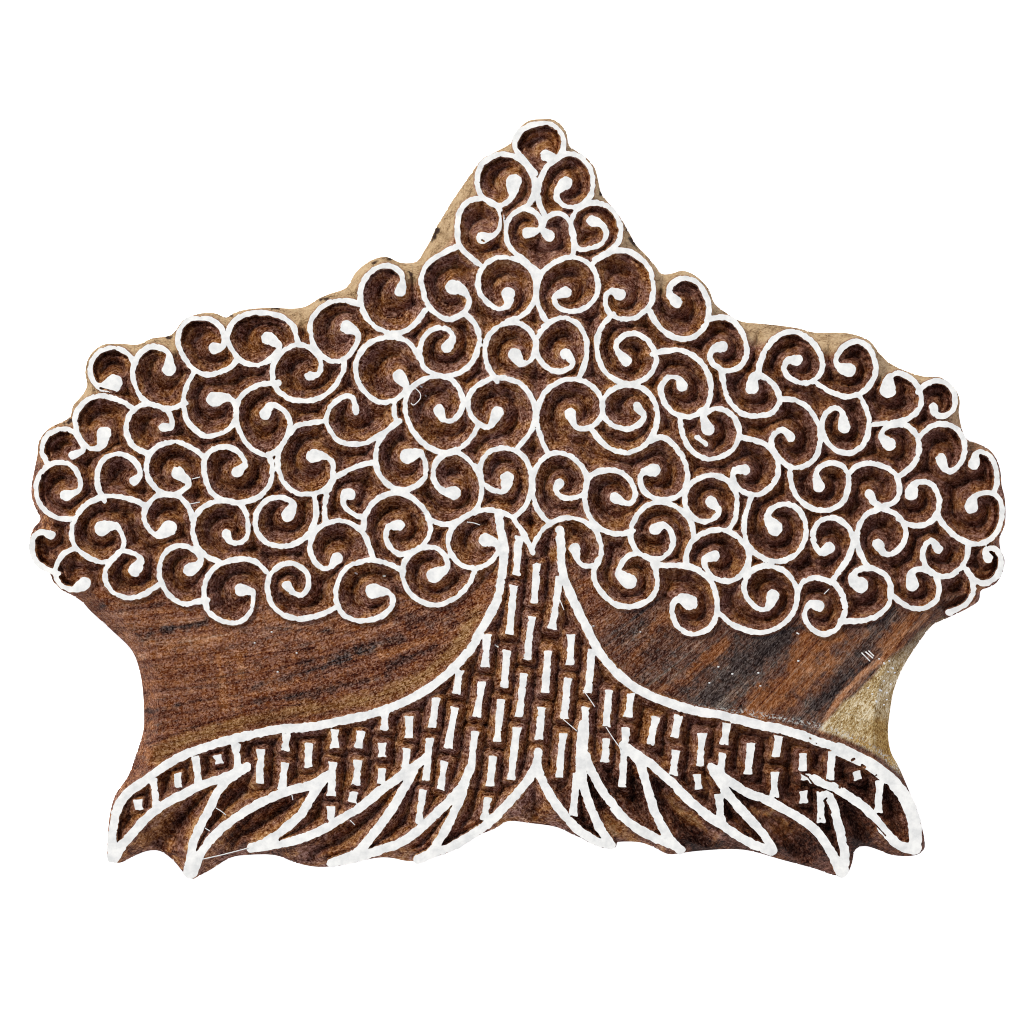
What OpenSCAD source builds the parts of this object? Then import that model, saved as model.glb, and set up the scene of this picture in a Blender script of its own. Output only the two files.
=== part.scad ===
// Hand-carved wooden block for printing cloth.
// One plank, cut to the outline of a spreading tree, carries the tree in relief:
// scrolls in the crown, two trunk lines that sweep out into the ground, short
// dashes of bark between them and pointed root blades along the lower edge.
// The flat tops of the raised lines carry a thin white coat.
// The block lies on its back: +Z is the printing direction, +Y the crown, and
// the origin is the middle of the back.

/* [Block] */
// Size of one drawing unit, in millimetres (the drawing is 979 units wide)
unit = 0.15; // [0.12:0.005:0.2]
// Thickness from the back to the printing face, in millimetres
thickness = 25; // [18:0.5:40]
// Depth of the carved ground below the printing face, in millimetres
relief_depth = 4; // [2:0.5:8]
// Thickness of the white coat on the raised lines, in millimetres
coat_t = 0.3; // [0.2:0.05:0.6]

/* [Lines] */
// Half the width of a scroll line, in drawing units
line_hw = 2.8; // [2.2:0.1:4.5]
// Half the width of a root line, in drawing units
root_hw = 4.4; // [3.5:0.1:5]
// Half the width of a bark dash at its middle, in drawing units
dash_hw = 4; // [2.5:0.1:5]
// Half the width of a bark dash at its flared ends, in drawing units
dash_end_hw = 5.1; // [4:0.1:7]
// Depth of the two flat waists below the bare tops of the lines, in millimetres
waist_depth = 0.8; // [0.4:0.1:2]
// Straight steps between two neighbouring points of a line
steps = 1; // [1:1:4]

/* [Hidden] */
wood = "#5b351f";
white = "#e9ebec";
// Middle of the drawing sheet, in drawing units
mid = [517, 499.25];
// Heights of the carved ground and of the bare tops of the lines
ground_z = thickness - relief_depth;
land_z = thickness - coat_t;

// Outline of the plank in drawing units, x to the right and y downwards:
// crown, left slope, left wing, left waist, root edge, right waist, right wing
// and right slope.
outline = [
 [540,118],[528,120],[518,129],[511,142],[493,152],[482,158],[472,171],[461,187],
 [452,200],[443,215],[435,228],[431,238],[424,250],[416,261],[400,262],[386,256],
 [370,260],[355,272],[346,287],[330,293],[318,298],[305,306],[290,308],[270,307],
 [245,309],[232,313],[225,317],[212,312],[195,314],[182,320],[173,332],[165,336],
 [150,338],[137,344],[115,343],[100,345],[88,356],[84,372],[86,385],[80,396],
 [72,405],[69,416],[62,421],[48,428],[38,440],[36,455],[33,470],[30,487],
 [31,500],[36,512],[39,520],[31,530],[28,545],[29,555],[35,565],[48,573],
 [52,582],[60,590],[72,596],[82,603],[90,612],
 [112,632],[131,651],[139,673],[142,694],[143,716],[142,733],[135,755],
 [127,777],[114,796],[108,820],[106,850],
 [107,859],[118,864],[133,857],[146,852],[159,852],[172,861],[183,874],[191,880],
 [198,877],[211,870],[229,859],[246,856],[274,856],[296,864],[318,868],[340,866],
 [375,859],[392,859],[407,862],[428,861],[436,855],[467,840],[494,830],[508,822],
 [530,824],[557,828],[579,838],[610,846],[617,843],[639,843],[654,848],[668,855],
 [682,854],[698,852],[730,850],[752,852],[780,860],[795,864],[817,870],[834,876],
 [847,876],[853,864],[856,851],[866,847],[880,851],[893,856],[912,857],[923,853],
 [926,843],[919,814],[901,770],[892,753],[889,733],[891,712],[895,690],
 [904,668],[917,647],[932,627],[940,622],
 [947,619],[958,614],[970,608],[980,601],[982,591],[989,588],[998,583],[1004,572],
 [1006,560],[1002,550],[1001,538],[1006,526],[1007,512],[1006,497],[1003,485],
 [1002,472],[998,459],[990,449],[978,443],[968,439],[963,428],[960,412],
 [961,400],[956,388],[942,377],[924,376],[903,369],[890,362],[880,352],[870,340],
 [855,334],[840,332],[815,332],[800,328],[780,325],[760,323],[742,321],[728,313],
 [715,303],[709,288],[696,275],[683,270],[672,273],[662,273],[654,263],[645,253],
 [637,245],[630,233],[624,222],[616,210],[607,200],[601,191],[598,178],[595,167],
 [588,158],[578,151],[569,144],[566,130],[555,119]];

// The flat waists between the crown and the roots, left and right. They stay
// clear of the lines round them.
left_waist = [
 [112,621],[130,611],[160,610],[185,616],[198,616],[208,628],[230,638],[250,633],
 [262,619],[280,628],[305,633],[330,628],[348,634],[372,634],[398,622],[410,614],
 [436,618],[458,614],[474,606],[470,620],[460,638],[446,655],[424,671],[396,687],
 [370,695],[330,702],[280,710],[230,720],[190,731],[166,742],[152,748],[150,734],
 [151,716],[150,694],[147,670],[138,648],[121,630]];
right_waist = [
 [598,616],[612,620],[628,620],[645,616],[657,610],[664,616],[670,630],[680,640],
 [696,646],[712,640],[722,635],[745,643],[765,644],[785,639],[798,634],[804,640],
 [812,645],[825,646],[838,640],[848,631],[870,631],[886,624],[896,616],[908,618],
 [920,620],[910,640],[898,662],[887,688],[882,712],[880,733],[876,743],[850,734],
 [820,724],[800,719],[770,712],[740,706],[710,702],[690,697],[668,688],[648,678],
 [630,663],[614,647],[604,632]];

// Every line of the ornament: [radius of its bulb, points along its middle from
// its tail to the middle of the bulb, radius at the tail, half width], in
// drawing units; the last two are given only where they differ from the rest.
crown_rows = [
 [7,[[534,172],[524,159],[516,150],[515,140],[521,131],[532,125],[545,123],[556,127],[563,137],[563,148],[557,158],[546,155]]],
 [9,[[520,209],[529,204],[534,194],[534,180],[528,167],[518,158],[504,154],[492,157],[481,166],[477,180],[480,193],[489,202],[501,205],[511,198],[514,182]]],
 [8,[[545,216],[540,205],[538,193],[540,180],[546,168],[556,159],[569,154],[581,157],[590,168],[593,182],[590,196],[580,205],[568,207],[558,200],[557,191],[566,183]]],
 [7,[[482,266],[474,260],[465,252],[459,243],[457,228],[459,214],[465,204],[475,199],[487,200],[497,206],[502,217],[500,228],[492,236],[482,238]]],
 [7,[[537,271],[525,261],[513,251],[507,241],[506,228],[511,216],[522,209],[533,211],[540,219],[540,229],[528,233]]],
 [7,[[573,255],[574,243],[573,231],[569,221],[562,214],[553,214],[545,220],[543,229],[549,236]]],
 [7,[[596,259],[607,252],[617,244],[621,231],[617,217],[607,206],[591,203],[577,210],[571,222],[573,238],[579,249],[591,248],[602,243],[606,233],[601,224],[592,221]]],
 [9,[[458,246],[449,250],[438,256],[427,265],[421,279],[423,291],[427,303],[435,313],[446,319],[457,317],[466,310],[469,300],[463,291],[453,287]]],
 [8,[[509,321],[521,316],[530,308],[535,297],[536,283],[531,270],[520,261],[507,257],[494,259],[483,267],[478,280],[480,293],[488,303],[499,309],[508,304],[508,294]]],
 [7,[[546,321],[540,310],[537,300],[537,288],[540,276],[548,267],[560,260],[573,257],[585,261],[594,270],[598,283],[596,296],[588,306],[577,311],[566,311],[557,306],[555,297],[566,292]]],
 [7,[[593,263],[602,257],[614,251],[628,251],[641,259],[650,270],[653,285],[652,300],[645,311],[634,318],[622,319],[612,315],[606,306],[606,296],[612,291],[620,295]]],
];
left_shoulder_rows = [
 [7,[[424,312],[417,322],[405,331],[391,333],[377,328],[366,317],[361,303],[361,289],[367,276],[378,267],[390,266],[400,272],[403,281],[400,291]]],
 [8,[[418,356],[411,345],[402,339],[388,337],[373,341],[362,350],[356,363],[357,377],[364,391],[376,401],[390,402],[401,396],[406,386],[399,376]]],
 [7,[[466,314],[475,324],[479,336],[478,349],[472,362],[461,372],[447,376],[434,374],[424,367],[420,355],[421,343],[427,333],[437,328],[447,329],[453,337],[447,347]]],
 [7,[[236,361],[228,369],[215,374],[203,374],[191,367],[183,356],[178,343],[180,330],[188,320],[200,318],[212,320],[221,328],[224,340],[222,347],[214,348]]],
 [8,[[298,343],[294,328],[284,318],[268,313],[252,313],[238,318],[230,327],[228,340],[234,353],[243,362],[255,365],[266,362],[275,354],[279,346],[268,338]]],
 [6,[[344,361],[343,371],[338,381],[331,390],[320,398],[307,401],[294,400],[283,395],[275,386],[272,373],[276,360],[285,350],[297,345],[308,347],[317,354],[321,365],[318,374],[309,376]]],
 [8,[[358,304],[348,301],[335,301],[323,306],[314,315],[310,327],[312,340],[317,351],[327,359],[338,361],[347,357],[354,348],[358,338],[356,332],[347,327]]],
 [9,[[194,373],[188,383],[184,395],[184,408],[187,420],[195,430],[206,436],[219,434],[230,428],[236,418],[236,407],[229,398],[214,399]]],
 [7,[[277,383],[263,384],[250,389],[240,398],[236,410],[237,423],[242,436],[250,447],[261,454],[272,454],[281,446],[287,436],[290,425],[287,414],[279,407],[271,405],[265,414]]],
 [5,[[394,403],[394,413],[395,421],[388,430],[377,437],[365,443],[351,444],[339,441],[331,432],[326,421],[329,410],[336,401],[346,396],[353,399],[356,411]]],
 [10,[[134,362],[127,353],[115,348],[103,350],[94,358],[90,370],[93,381],[102,387],[114,383]]],
 [8,[[184,404],[172,408],[158,406],[146,401],[138,392],[133,378],[134,364],[140,353],[150,347],[161,348],[169,355],[169,369]]],
];
left_wing_rows = [
 [9,[[131,407],[123,402],[113,398],[100,396],[89,399],[80,407],[75,418],[77,430],[82,441],[90,448],[100,446],[104,434]]],
 [6,[[146,453],[136,448],[129,440],[126,429],[128,418],[135,409],[147,404],[159,407],[168,412],[172,420],[171,427],[163,427]]],
 [6,[[47,462],[42,452],[44,440],[52,432],[64,429],[74,433],[81,443],[83,450],[73,455]]],
 [7,[[70,519],[58,518],[47,512],[39,502],[36,490],[38,478],[44,469],[54,463],[66,463],[75,469],[80,480],[78,491],[66,495]]],
 [6,[[104,499],[99,490],[97,478],[99,467],[106,458],[117,454],[129,457],[138,466],[140,475],[134,481]]],
 [8,[[203,456],[192,448],[178,442],[165,443],[153,450],[147,461],[147,473],[152,484],[160,492],[171,495],[182,491],[189,483],[178,473]]],
 [9,[[143,504],[130,499],[114,496],[99,498],[86,505],[77,515],[72,528],[73,542],[80,552],[92,559],[105,562],[115,556],[123,547],[123,537],[116,526],[102,528]]],
 [9,[[193,522],[189,508],[181,498],[168,494],[155,497],[146,507],[144,518],[149,529],[158,535],[169,528]]],
 [6,[[57,573],[45,568],[36,561],[32,550],[33,539],[40,532],[51,535]]],
 [8,[[73,549],[63,554],[57,564],[56,575],[61,585],[70,589],[78,588],[84,584]]],
 [8,[[160,584],[151,590],[140,596],[128,598],[116,594],[108,586],[105,575],[108,565],[115,557],[122,551],[133,553],[141,560],[135,570]]],
 [8,[[206,600],[196,602],[186,604],[175,600],[166,591],[160,578],[160,564],[166,552],[176,546],[188,547],[197,553],[201,562],[190,570]]],
 [8,[[265,570],[256,562],[243,559],[229,561],[217,566],[208,576],[204,589],[205,602],[210,613],[220,620],[232,623],[243,620],[250,612],[253,601],[252,592],[241,590]]],
 [7,[[270,458],[272,468],[271,480],[266,490],[257,498],[244,502],[231,502],[218,498],[209,489],[205,476],[204,463],[209,452],[220,447],[232,448],[241,455],[245,464],[237,472]]],
 [6,[[219,562],[208,557],[199,549],[194,538],[193,526],[197,514],[206,505],[219,501],[232,501],[242,506],[247,516],[248,528],[246,538],[239,543],[231,542],[226,534]]],
];
left_heart_rows = [
 [8,[[325,421],[311,423],[297,426],[289,434],[282,445],[278,458],[279,471],[285,484],[297,493],[310,494],[322,491],[330,483],[333,472],[332,462],[324,456],[313,456]]],
 [4.5,[[374,462],[361,465],[348,470],[336,478],[329,489],[325,502],[325,514],[326,522]]],
 [7,[[362,517],[353,514],[346,508],[343,501],[345,494],[350,494]]],
 [8,[[314,496],[316,508],[315,521],[309,533],[299,542],[286,546],[272,545],[262,539],[256,528],[256,515],[262,504],[273,498],[284,498],[293,504],[288,515]]],
 [9,[[398,422],[388,430],[380,440],[376,452],[376,464],[381,477],[390,486],[402,490],[414,487],[423,480],[426,469],[424,459],[419,453],[407,456]]],
 [7,[[477,427],[471,438],[461,447],[448,452],[434,450],[422,442],[413,431],[407,418],[405,405],[408,393],[416,384],[428,378],[441,376],[452,380],[459,389],[463,400],[461,411],[453,420],[444,420],[439,410]]],
 [7,[[364,527],[365,516],[371,505],[381,497],[393,493],[405,495],[416,501],[425,511],[430,523],[429,536],[422,546],[411,552],[399,554],[390,547],[386,536],[389,527],[399,525]]],
 [8,[[477,509],[481,496],[481,482],[477,470],[469,460],[458,453],[446,454],[437,461],[433,472],[435,483],[443,491],[454,493]]],
 [6,[[337,607],[327,612],[314,617],[300,619],[286,616],[275,608],[269,597],[268,584],[271,573],[279,566],[290,563],[301,567],[308,576],[308,587],[302,595],[294,593],[287,586]]],
 [7,[[373,557],[369,546],[364,534],[355,526],[343,521],[330,522],[319,528],[312,538],[310,550],[314,561],[322,568],[330,567],[337,558]]],
 [9,[[402,570],[386,563],[372,560],[359,562],[348,567],[340,577],[336,590],[337,603],[343,614],[354,620],[367,620],[380,617],[390,609],[393,599],[387,592],[373,591]]],
 [9,[[474,572],[469,584],[460,594],[448,602],[434,605],[420,601],[410,593],[404,582],[403,570],[406,559],[415,551],[427,547],[438,549],[446,558],[446,568],[434,575]]],
 [4.5,[[430,520],[443,524],[455,522],[466,516],[477,509]]],
];
centre_rows = [
 [8,[[496,380],[492,374],[487,364],[485,351],[487,339],[495,329],[507,323],[519,323],[529,330],[535,340],[535,352],[530,361],[521,363],[515,355]]],
 [7,[[579,378],[584,366],[587,353],[586,340],[581,328],[572,320],[560,318],[549,323],[540,332],[536,344],[538,356],[545,366],[555,371],[566,370],[573,363],[566,354]]],
 [8,[[519,446],[527,437],[533,426],[535,413],[533,401],[527,390],[517,382],[504,378],[491,379],[480,384],[471,392],[468,403],[470,413],[477,422],[489,427],[497,413]]],
 [8,[[515,517],[524,508],[530,496],[532,483],[530,469],[524,457],[514,450],[501,448],[489,452],[482,461],[480,473],[484,484],[493,490],[504,491],[507,478]]],
 [8,[[532,551],[527,540],[520,528],[511,517],[499,511],[485,510],[471,514],[459,521],[451,531],[448,543],[452,555],[460,564],[472,568],[484,566],[494,558],[498,549],[494,542],[485,540]]],
 [7,[[548,453],[543,443],[539,431],[537,418],[539,404],[546,391],[557,383],[570,379],[583,381],[594,388],[601,398],[603,410],[598,421],[588,428],[576,427],[570,414]]],
 [6,[[549,523],[541,514],[535,503],[533,490],[533,477],[537,466],[545,457],[556,453],[568,455],[578,462],[585,472],[587,484],[583,494],[573,498],[562,497],[556,490],[560,483]]],
 [7,[[532,548],[539,535],[548,525],[560,519],[573,518],[585,522],[595,530],[600,542],[601,554],[596,564],[586,566],[578,561],[575,549]]],
];
right_heart_rows = [
 [7,[[612,315],[607,320],[600,330],[597,342],[598,356],[603,369],[614,379],[628,384],[641,381],[651,373],[656,360],[653,348],[645,338],[634,333],[622,337],[616,345],[619,353],[626,361]]],
 [7,[[653,354],[665,351],[679,350],[692,355],[702,364],[709,377],[711,391],[708,404],[700,412],[688,417],[675,413],[666,405],[661,394],[662,384],[670,377],[679,379],[682,386]]],
 [6,[[592,430],[598,438],[606,446],[617,451],[630,452],[642,447],[651,438],[656,426],[657,413],[654,401],[647,392],[637,386],[625,385],[613,389],[605,397],[602,408],[606,419],[615,426],[627,429],[638,425],[644,416],[637,407]]],
 [8,[[680,419],[682,432],[687,444],[696,454],[709,459],[722,456],[733,449],[739,437],[738,425],[732,415],[722,409],[711,410],[704,417],[708,429]]],
 [3,[[698,438],[703,442],[706,444]]],
 [7,[[631,531],[620,534],[608,532],[597,526],[589,516],[585,504],[585,491],[588,479],[597,472],[610,470],[622,473],[631,482],[635,493],[632,502],[625,503],[615,498]]],
 [8,[[651,441],[662,437],[672,443],[680,453],[686,466],[687,480],[682,492],[671,499],[658,499],[646,493],[640,482],[643,472],[654,470]]],
 [7,[[694,538],[692,525],[685,514],[674,506],[661,502],[648,505],[638,514],[632,526],[631,539],[636,550],[646,557],[658,559],[668,553],[673,543],[671,532],[664,525],[655,529]]],
 [9,[[598,560],[594,571],[596,583],[603,594],[613,603],[627,607],[641,604],[652,597],[657,585],[656,572],[652,561],[642,555],[630,555],[622,563],[619,573],[629,581]]],
 [9,[[656,565],[670,565],[685,566],[698,570],[709,579],[715,590],[717,604],[716,617],[709,628],[697,634],[685,632],[676,624],[672,612],[674,602],[681,598],[690,603]]],
 [7,[[686,564],[687,553],[692,542],[702,534],[714,530],[727,531],[738,537],[746,547],[749,558],[745,570],[736,579],[724,581],[713,577],[706,568],[705,559],[714,556]]],
 [7,[[729,530],[735,519],[737,506],[736,493],[729,482],[718,476],[705,476],[694,481],[687,490],[685,502],[690,514],[700,521],[711,520],[719,512],[711,502]]],
];
right_shoulder_rows = [
 [7,[[651,314],[655,321],[663,330],[674,337],[687,339],[699,333],[706,323],[709,309],[706,296],[700,285],[690,279],[680,279],[671,285],[670,295],[677,302]]],
 [8,[[722,374],[724,386],[728,398],[735,408],[746,415],[759,416],[771,413],[779,404],[778,392],[771,382],[762,376],[754,376],[752,388]]],
 [7,[[711,319],[722,317],[733,321],[741,331],[746,343],[746,356],[740,366],[728,371],[717,367],[710,358],[713,349],[722,347]]],
 [7,[[758,375],[760,363],[765,351],[773,340],[784,333],[796,332],[808,338],[817,348],[822,360],[821,372],[813,381],[801,383],[790,378],[784,369],[787,361],[797,360]]],
 [8,[[817,383],[827,390],[839,395],[852,396],[864,391],[872,381],[876,368],[873,355],[866,345],[856,341],[846,345],[839,352],[836,360],[839,367],[849,370]]],
 [8,[[860,397],[866,408],[869,421],[868,434],[862,446],[850,453],[837,451],[828,443],[823,433],[822,422],[826,413],[835,408],[842,413],[844,427]]],
 [6,[[783,399],[795,400],[807,407],[815,417],[820,430],[820,443],[816,456],[807,465],[795,468],[784,463],[776,454],[771,443],[775,433],[783,430],[791,437]]],
];
right_wing_rows = [
 [7,[[741,438],[753,440],[765,444],[773,452],[778,463],[777,476],[770,487],[760,494],[748,494],[738,488],[733,479],[735,470],[745,470]]],
 [7,[[790,468],[791,482],[796,495],[806,505],[819,510],[832,509],[843,501],[848,489],[848,476],[842,466],[831,463],[820,467],[816,475],[819,486]]],
 [9,[[751,498],[747,509],[744,522],[745,536],[750,547],[759,556],[772,561],[785,560],[797,553],[804,542],[806,529],[803,516],[795,507],[784,504],[773,508],[767,517],[775,528]]],
 [7,[[832,581],[839,571],[847,560],[852,548],[853,538],[848,527],[838,519],[827,518],[818,523],[813,533],[815,545],[821,552],[829,548]]],
 [6,[[849,473],[857,466],[869,463],[882,466],[893,472],[899,482],[899,494],[893,503],[883,506],[874,502],[869,494]]],
 [7,[[866,564],[860,553],[857,541],[858,529],[863,518],[873,511],[885,510],[896,514],[903,522],[906,532],[903,544],[895,552],[885,554],[878,544]]],
 [9,[[842,621],[856,621],[870,619],[881,613],[889,603],[891,590],[888,579],[880,571],[868,568],[857,571],[853,579],[860,585]]],
 [7,[[799,590],[803,582],[813,578],[826,580],[836,585],[842,595],[845,608],[842,620],[835,630],[824,634],[813,630],[806,621],[805,611],[811,604],[819,606]]],
 [8,[[721,615],[729,622],[740,628],[754,632],[768,631],[780,626],[790,617],[796,605],[797,591],[792,579],[782,570],[769,566],[757,568],[748,575],[744,586],[747,597],[754,606],[763,610],[769,606],[773,596]]],
 [9,[[875,424],[888,423],[901,421],[912,416],[920,407],[921,396],[917,385],[909,377],[898,373],[889,378],[888,390]]],
 [6,[[919,391],[926,384],[937,381],[947,384],[954,393],[955,404],[951,412],[943,416],[935,414],[933,407]]],
 [7,[[920,436],[930,427],[942,424],[954,427],[962,436],[965,448],[962,461],[954,470],[946,470],[941,459]]],
 [8,[[902,474],[912,466],[918,455],[919,443],[914,432],[905,425],[893,425],[884,429],[882,436],[889,444]]],
 [7,[[994,492],[997,481],[996,469],[992,459],[985,453],[977,453],[974,464]]],
 [8,[[938,515],[944,525],[953,534],[964,541],[977,544],[989,540],[998,530],[1002,516],[1001,503],[994,494],[983,493],[974,497],[971,507]]],
 [8,[[900,520],[910,525],[922,525],[932,520],[938,510],[939,498],[934,487],[925,482],[915,484],[911,494]]],
 [6,[[968,549],[966,560],[959,570],[948,576],[937,575],[927,568],[923,557],[925,546],[932,541],[938,549]]],
 [8,[[894,597],[903,604],[915,609],[927,607],[936,600],[939,589],[936,578],[928,571],[918,569],[911,574],[912,584]]],
 [6,[[968,571],[975,580],[986,583],[996,577],[1001,566],[1000,555],[993,548],[986,551],[988,558]]],
 [4.5,[[967,571],[972,581],[973,592],[967,603],[957,609],[949,612]]],
];
trunk_rows = [
 [7,[[499,516],[501,530],[504,548],[503,565],[501,582],[497,600],[489,616],[480,632],[471,648],[459,662],[444,677],[424,691],[400,704],[375,713],[345,720],[310,727],[280,729],[250,735],[222,742],[200,749],[182,756],[160,769],[142,783],[128,793],[119,805],[114,821],[112,840],[113,857]]],
 [8,[[560,530],[561,550],[562,568],[566,582],[572,597],[580,614],[589,633],[599,651],[611,667],[625,680],[641,691],[661,700],[681,707],[701,712],[720,715],[740,720],[760,725],[780,729],[800,735],[820,742],[840,749],[860,759],[878,770],[893,782],[904,796],[911,811],[915,828],[915,847]]],
];
left_root_rows = [
 [4.5,[[114,857],[122,845],[132,834],[148,817],[165,804],[182,795],[200,786],[220,779],[238,772],[247,767]],7],
 [8,[[238,773],[226,782],[217,793],[211,806],[203,821],[195,838],[191,856],[190,872]]],
 [4.5,[[191,872],[199,856],[209,842],[222,828],[240,815],[258,804],[275,796],[292,790],[307,786],[319,781],[328,775]],8],
 [4.5,[[326,777],[318,787],[310,800],[301,814],[288,826],[274,837],[260,845],[251,848]]],
 [4.5,[[251,848],[275,845],[300,839],[320,831],[336,822],[351,813],[366,803],[380,791],[393,782],[405,773],[416,765],[427,757]]],
 [5,[[413,771],[408,782],[399,796],[392,809],[382,823],[370,838],[360,850],[345,858],[331,863]]],
 [4.5,[[331,863],[352,859],[372,853],[390,847],[405,840],[420,829],[437,813],[454,796],[465,781],[471,766]]],
 [4.5,[[465,783],[460,799],[453,814],[446,829],[438,842],[430,853],[418,859]]],
 [4.5,[[418,859],[440,851],[455,845],[470,836],[485,826],[500,812],[513,798],[523,786],[531,775],[537,763],[538,752]]],
];
right_root_rows = [
 [5,[[537,762],[539,772],[546,788],[555,803],[565,816],[575,827],[588,837],[601,843],[612,845]]],
 [5,[[581,762],[582,776],[585,791],[590,806],[596,820],[603,833],[611,844]]],
 [5,[[582,748],[588,762],[598,784],[610,801],[622,816],[637,828],[653,837],[670,844],[681,850]]],
 [5,[[632,753],[641,765],[645,779],[650,796],[655,812],[662,826],[670,839],[680,849]]],
 [6,[[623,745],[634,753],[647,761],[659,771],[671,782],[684,795],[697,807],[711,818],[725,827],[740,837],[755,845],[772,851]]],
 [6,[[711,767],[719,780],[728,794],[738,806],[749,818],[759,829],[767,839],[773,850]]],
 [8,[[712,768],[722,776],[735,785],[750,794],[765,799],[780,807],[795,815],[808,824],[819,834],[828,847],[835,859],[841,870]]],
 [8,[[828,794],[834,808],[838,823],[842,840],[845,856],[842,871]]],
 [7,[[813,779],[825,784],[838,790],[850,797],[862,805],[872,815],[881,826],[890,837],[901,846],[914,849]]],
];
// The broad ends of two root lines on the right
right_band_rows = [
 [7,[[836,748],[860,759],[878,770],[893,782],[904,796],[911,811],[915,828],[915,846]],5,6.5],
 [6,[[584,724],[582,745],[581,768],[582,784]],5.5,5.8],
];
// Bark dashes: upper end and lower end of each, in drawing units
dashes = [
 [519,536,516,575],[537,563,534,604],[514,585,509,635],[532,616,527,660],[560,576,552,629],
 [487,634,485,667],[507,650,504,688],[548,650,545,693],[571,634,570,665],[460,670,456,694],
 [482,681,477,717],[524,673,519,717],[568,678,564,719],[592,649,588,693],[609,690,606,727],
 [631,693,628,717],[385,712,384,730],[409,716,409,738],[436,698,432,728],[455,707,448,748],
 [501,699,497,742],[542,707,539,740],[475,731,471,768],[517,727,511,780],[563,733,559,778],
 [586,707,580,775],[606,738,605,762],[626,727,622,787],[656,717,650,745],[679,715,674,738],
 [676,750,673,775],[309,743,308,768],[335,729,335,748],[361,731,358,748],[382,743,382,757],
 [407,748,405,772],[430,738,426,781],[445,761,440,790],[493,756,490,786],[333,762,331,796],
 [358,760,356,785],[382,768,381,784],[423,789,419,824],[488,797,484,820],[354,792,352,802],
 [331,806,331,826],[577,773,573,816],[138,800,139,810],[153,778,157,806],[177,773,178,788],
 [195,756,199,784],[217,755,219,764],[236,744,238,770],[261,749,259,784],[286,734,285,751],
 [285,762,282,789],[702,733,700,766],[727,723,724,745],[697,774,699,790],[723,753,720,772],
 [751,743,748,774],[779,736,776,757],[775,772,774,797],[803,753,803,771],[805,774,805,780],
 [803,791,804,803],[832,751,830,780],[856,771,858,780],[880,781,878,813],[719,794,721,821],
 [821,791,821,823]];

// A point of the drawing on the block, in millimetres
function at(p) = [(p[0] - mid[0]) * unit, (mid[1] - p[1]) * unit];
// A smooth curve through the points of a line
function bend(a, b, c, d, t) = 0.5 * (2*b + (c - a)*t + (2*a - 5*b + 4*c - d)*t*t
                                      + (3*b - a - 3*c + d)*t*t*t);
function curve(k) = [for (i = [0:len(k)-2], s = [0:steps-1])
    bend(k[max(i-1, 0)], k[i], k[i+1], k[min(i+2, len(k)-1)], s/steps), k[len(k)-1]];
// A curve with its tail drawn out by e, so that it meets the line it springs from
function reach(q, e) = [for (i = [0:len(q)-1])
    i > 0 ? q[i] : q[0] + (q[0] - q[1]) / norm(q[0] - q[1]) * e];
// Length of a curve up to each of its points
function lengths(q) = [for (i = 0, s = 0; i < len(q);
    s = s + (i+1 < len(q) ? norm(q[i+1] - q[i]) : 0), i = i+1) s];
// Direction across a curve at point i
function across(q, i) = let (d = q[min(i+1, len(q)-1)] - q[max(i-1, 0)])
    [-d[1], d[0]] / norm(d);
// Half width of a line at distance l from its tail and s from its bulb
function half_width(hw, r0, r1, l, s) = max(
    hw + (r1 - hw) * max(0, 1 - s / (2.2 * r1)),
    hw + (r0 - hw) * max(0, 1 - l / (3 * r0)));

// One raised line: a strip of quads along the curve, its bulb and its round tail
module stroke(row, base_hw) {
    hw = len(row) > 3 ? row[3] : base_hw;
    q = reach(curve(row[1]), 4.5 - hw);
    n = len(q);
    r1 = max(row[0] - 1.2, hw);
    r0 = len(row) > 2 ? max(row[2] - 1, hw) : hw;
    run = lengths(q);
    w = [for (i = [0:n-1]) half_width(hw, r0, r1, run[i], run[n-1] - run[i])];
    for (i = [0:n-2])
        polygon([at(q[i] + w[i]*across(q, i)), at(q[i+1] + w[i+1]*across(q, i+1)),
                 at(q[i+1] - w[i+1]*across(q, i+1)), at(q[i] - w[i]*across(q, i))]);
    translate(at(q[n-1])) circle(r = r1*unit, $fn = 12);
    translate(at(q[0])) circle(r = r0*unit, $fn = 8);
}
module strokes(rows, hw = line_hw) { for (row = rows) stroke(row, hw); }

// One bark dash: waisted in the middle, with flat flared ends
module dash(d) {
    a = [d[0], d[1]];
    b = [d[2], d[3]];
    u = (b - a) / norm(b - a);
    v = [-u[1], u[0]];
    e = min(8, norm(b - a) / 3);
    m = (dash_hw + dash_end_hw) / 2 - 0.5;
    polygon([for (p = [a - v*dash_end_hw, a + u*e/2 - v*m, a + u*e - v*dash_hw,
        b - u*e - v*dash_hw, b - u*e/2 - v*m, b - v*dash_end_hw,
        b + v*dash_end_hw, b - u*e/2 + v*m, b - u*e + v*dash_hw,
        a + u*e + v*dash_hw, a + u*e/2 + v*m, a + v*dash_end_hw]) at(p)]);
}

// The tops of the lines, by parts of the tree. Where two parts cross, the
// lower-numbered one keeps the crossing.
module part_lines(k) {
    if (k == 0) strokes(crown_rows);
    if (k == 1) strokes(left_shoulder_rows);
    if (k == 2) strokes(left_wing_rows);
    if (k == 3) strokes(left_heart_rows);
    if (k == 4) strokes(centre_rows);
    if (k == 5) strokes(right_heart_rows);
    if (k == 6) strokes(right_shoulder_rows);
    if (k == 7) strokes(right_wing_rows);
    if (k == 8) strokes(trunk_rows, root_hw);
    if (k == 9) strokes(left_root_rows, root_hw);
    if (k == 10) { strokes(right_root_rows, root_hw); strokes(right_band_rows, root_hw); }
    if (k == 11) for (d = dashes) dash(d);
}
module all_lines() { for (k = [0:11]) part_lines(k); }
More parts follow.
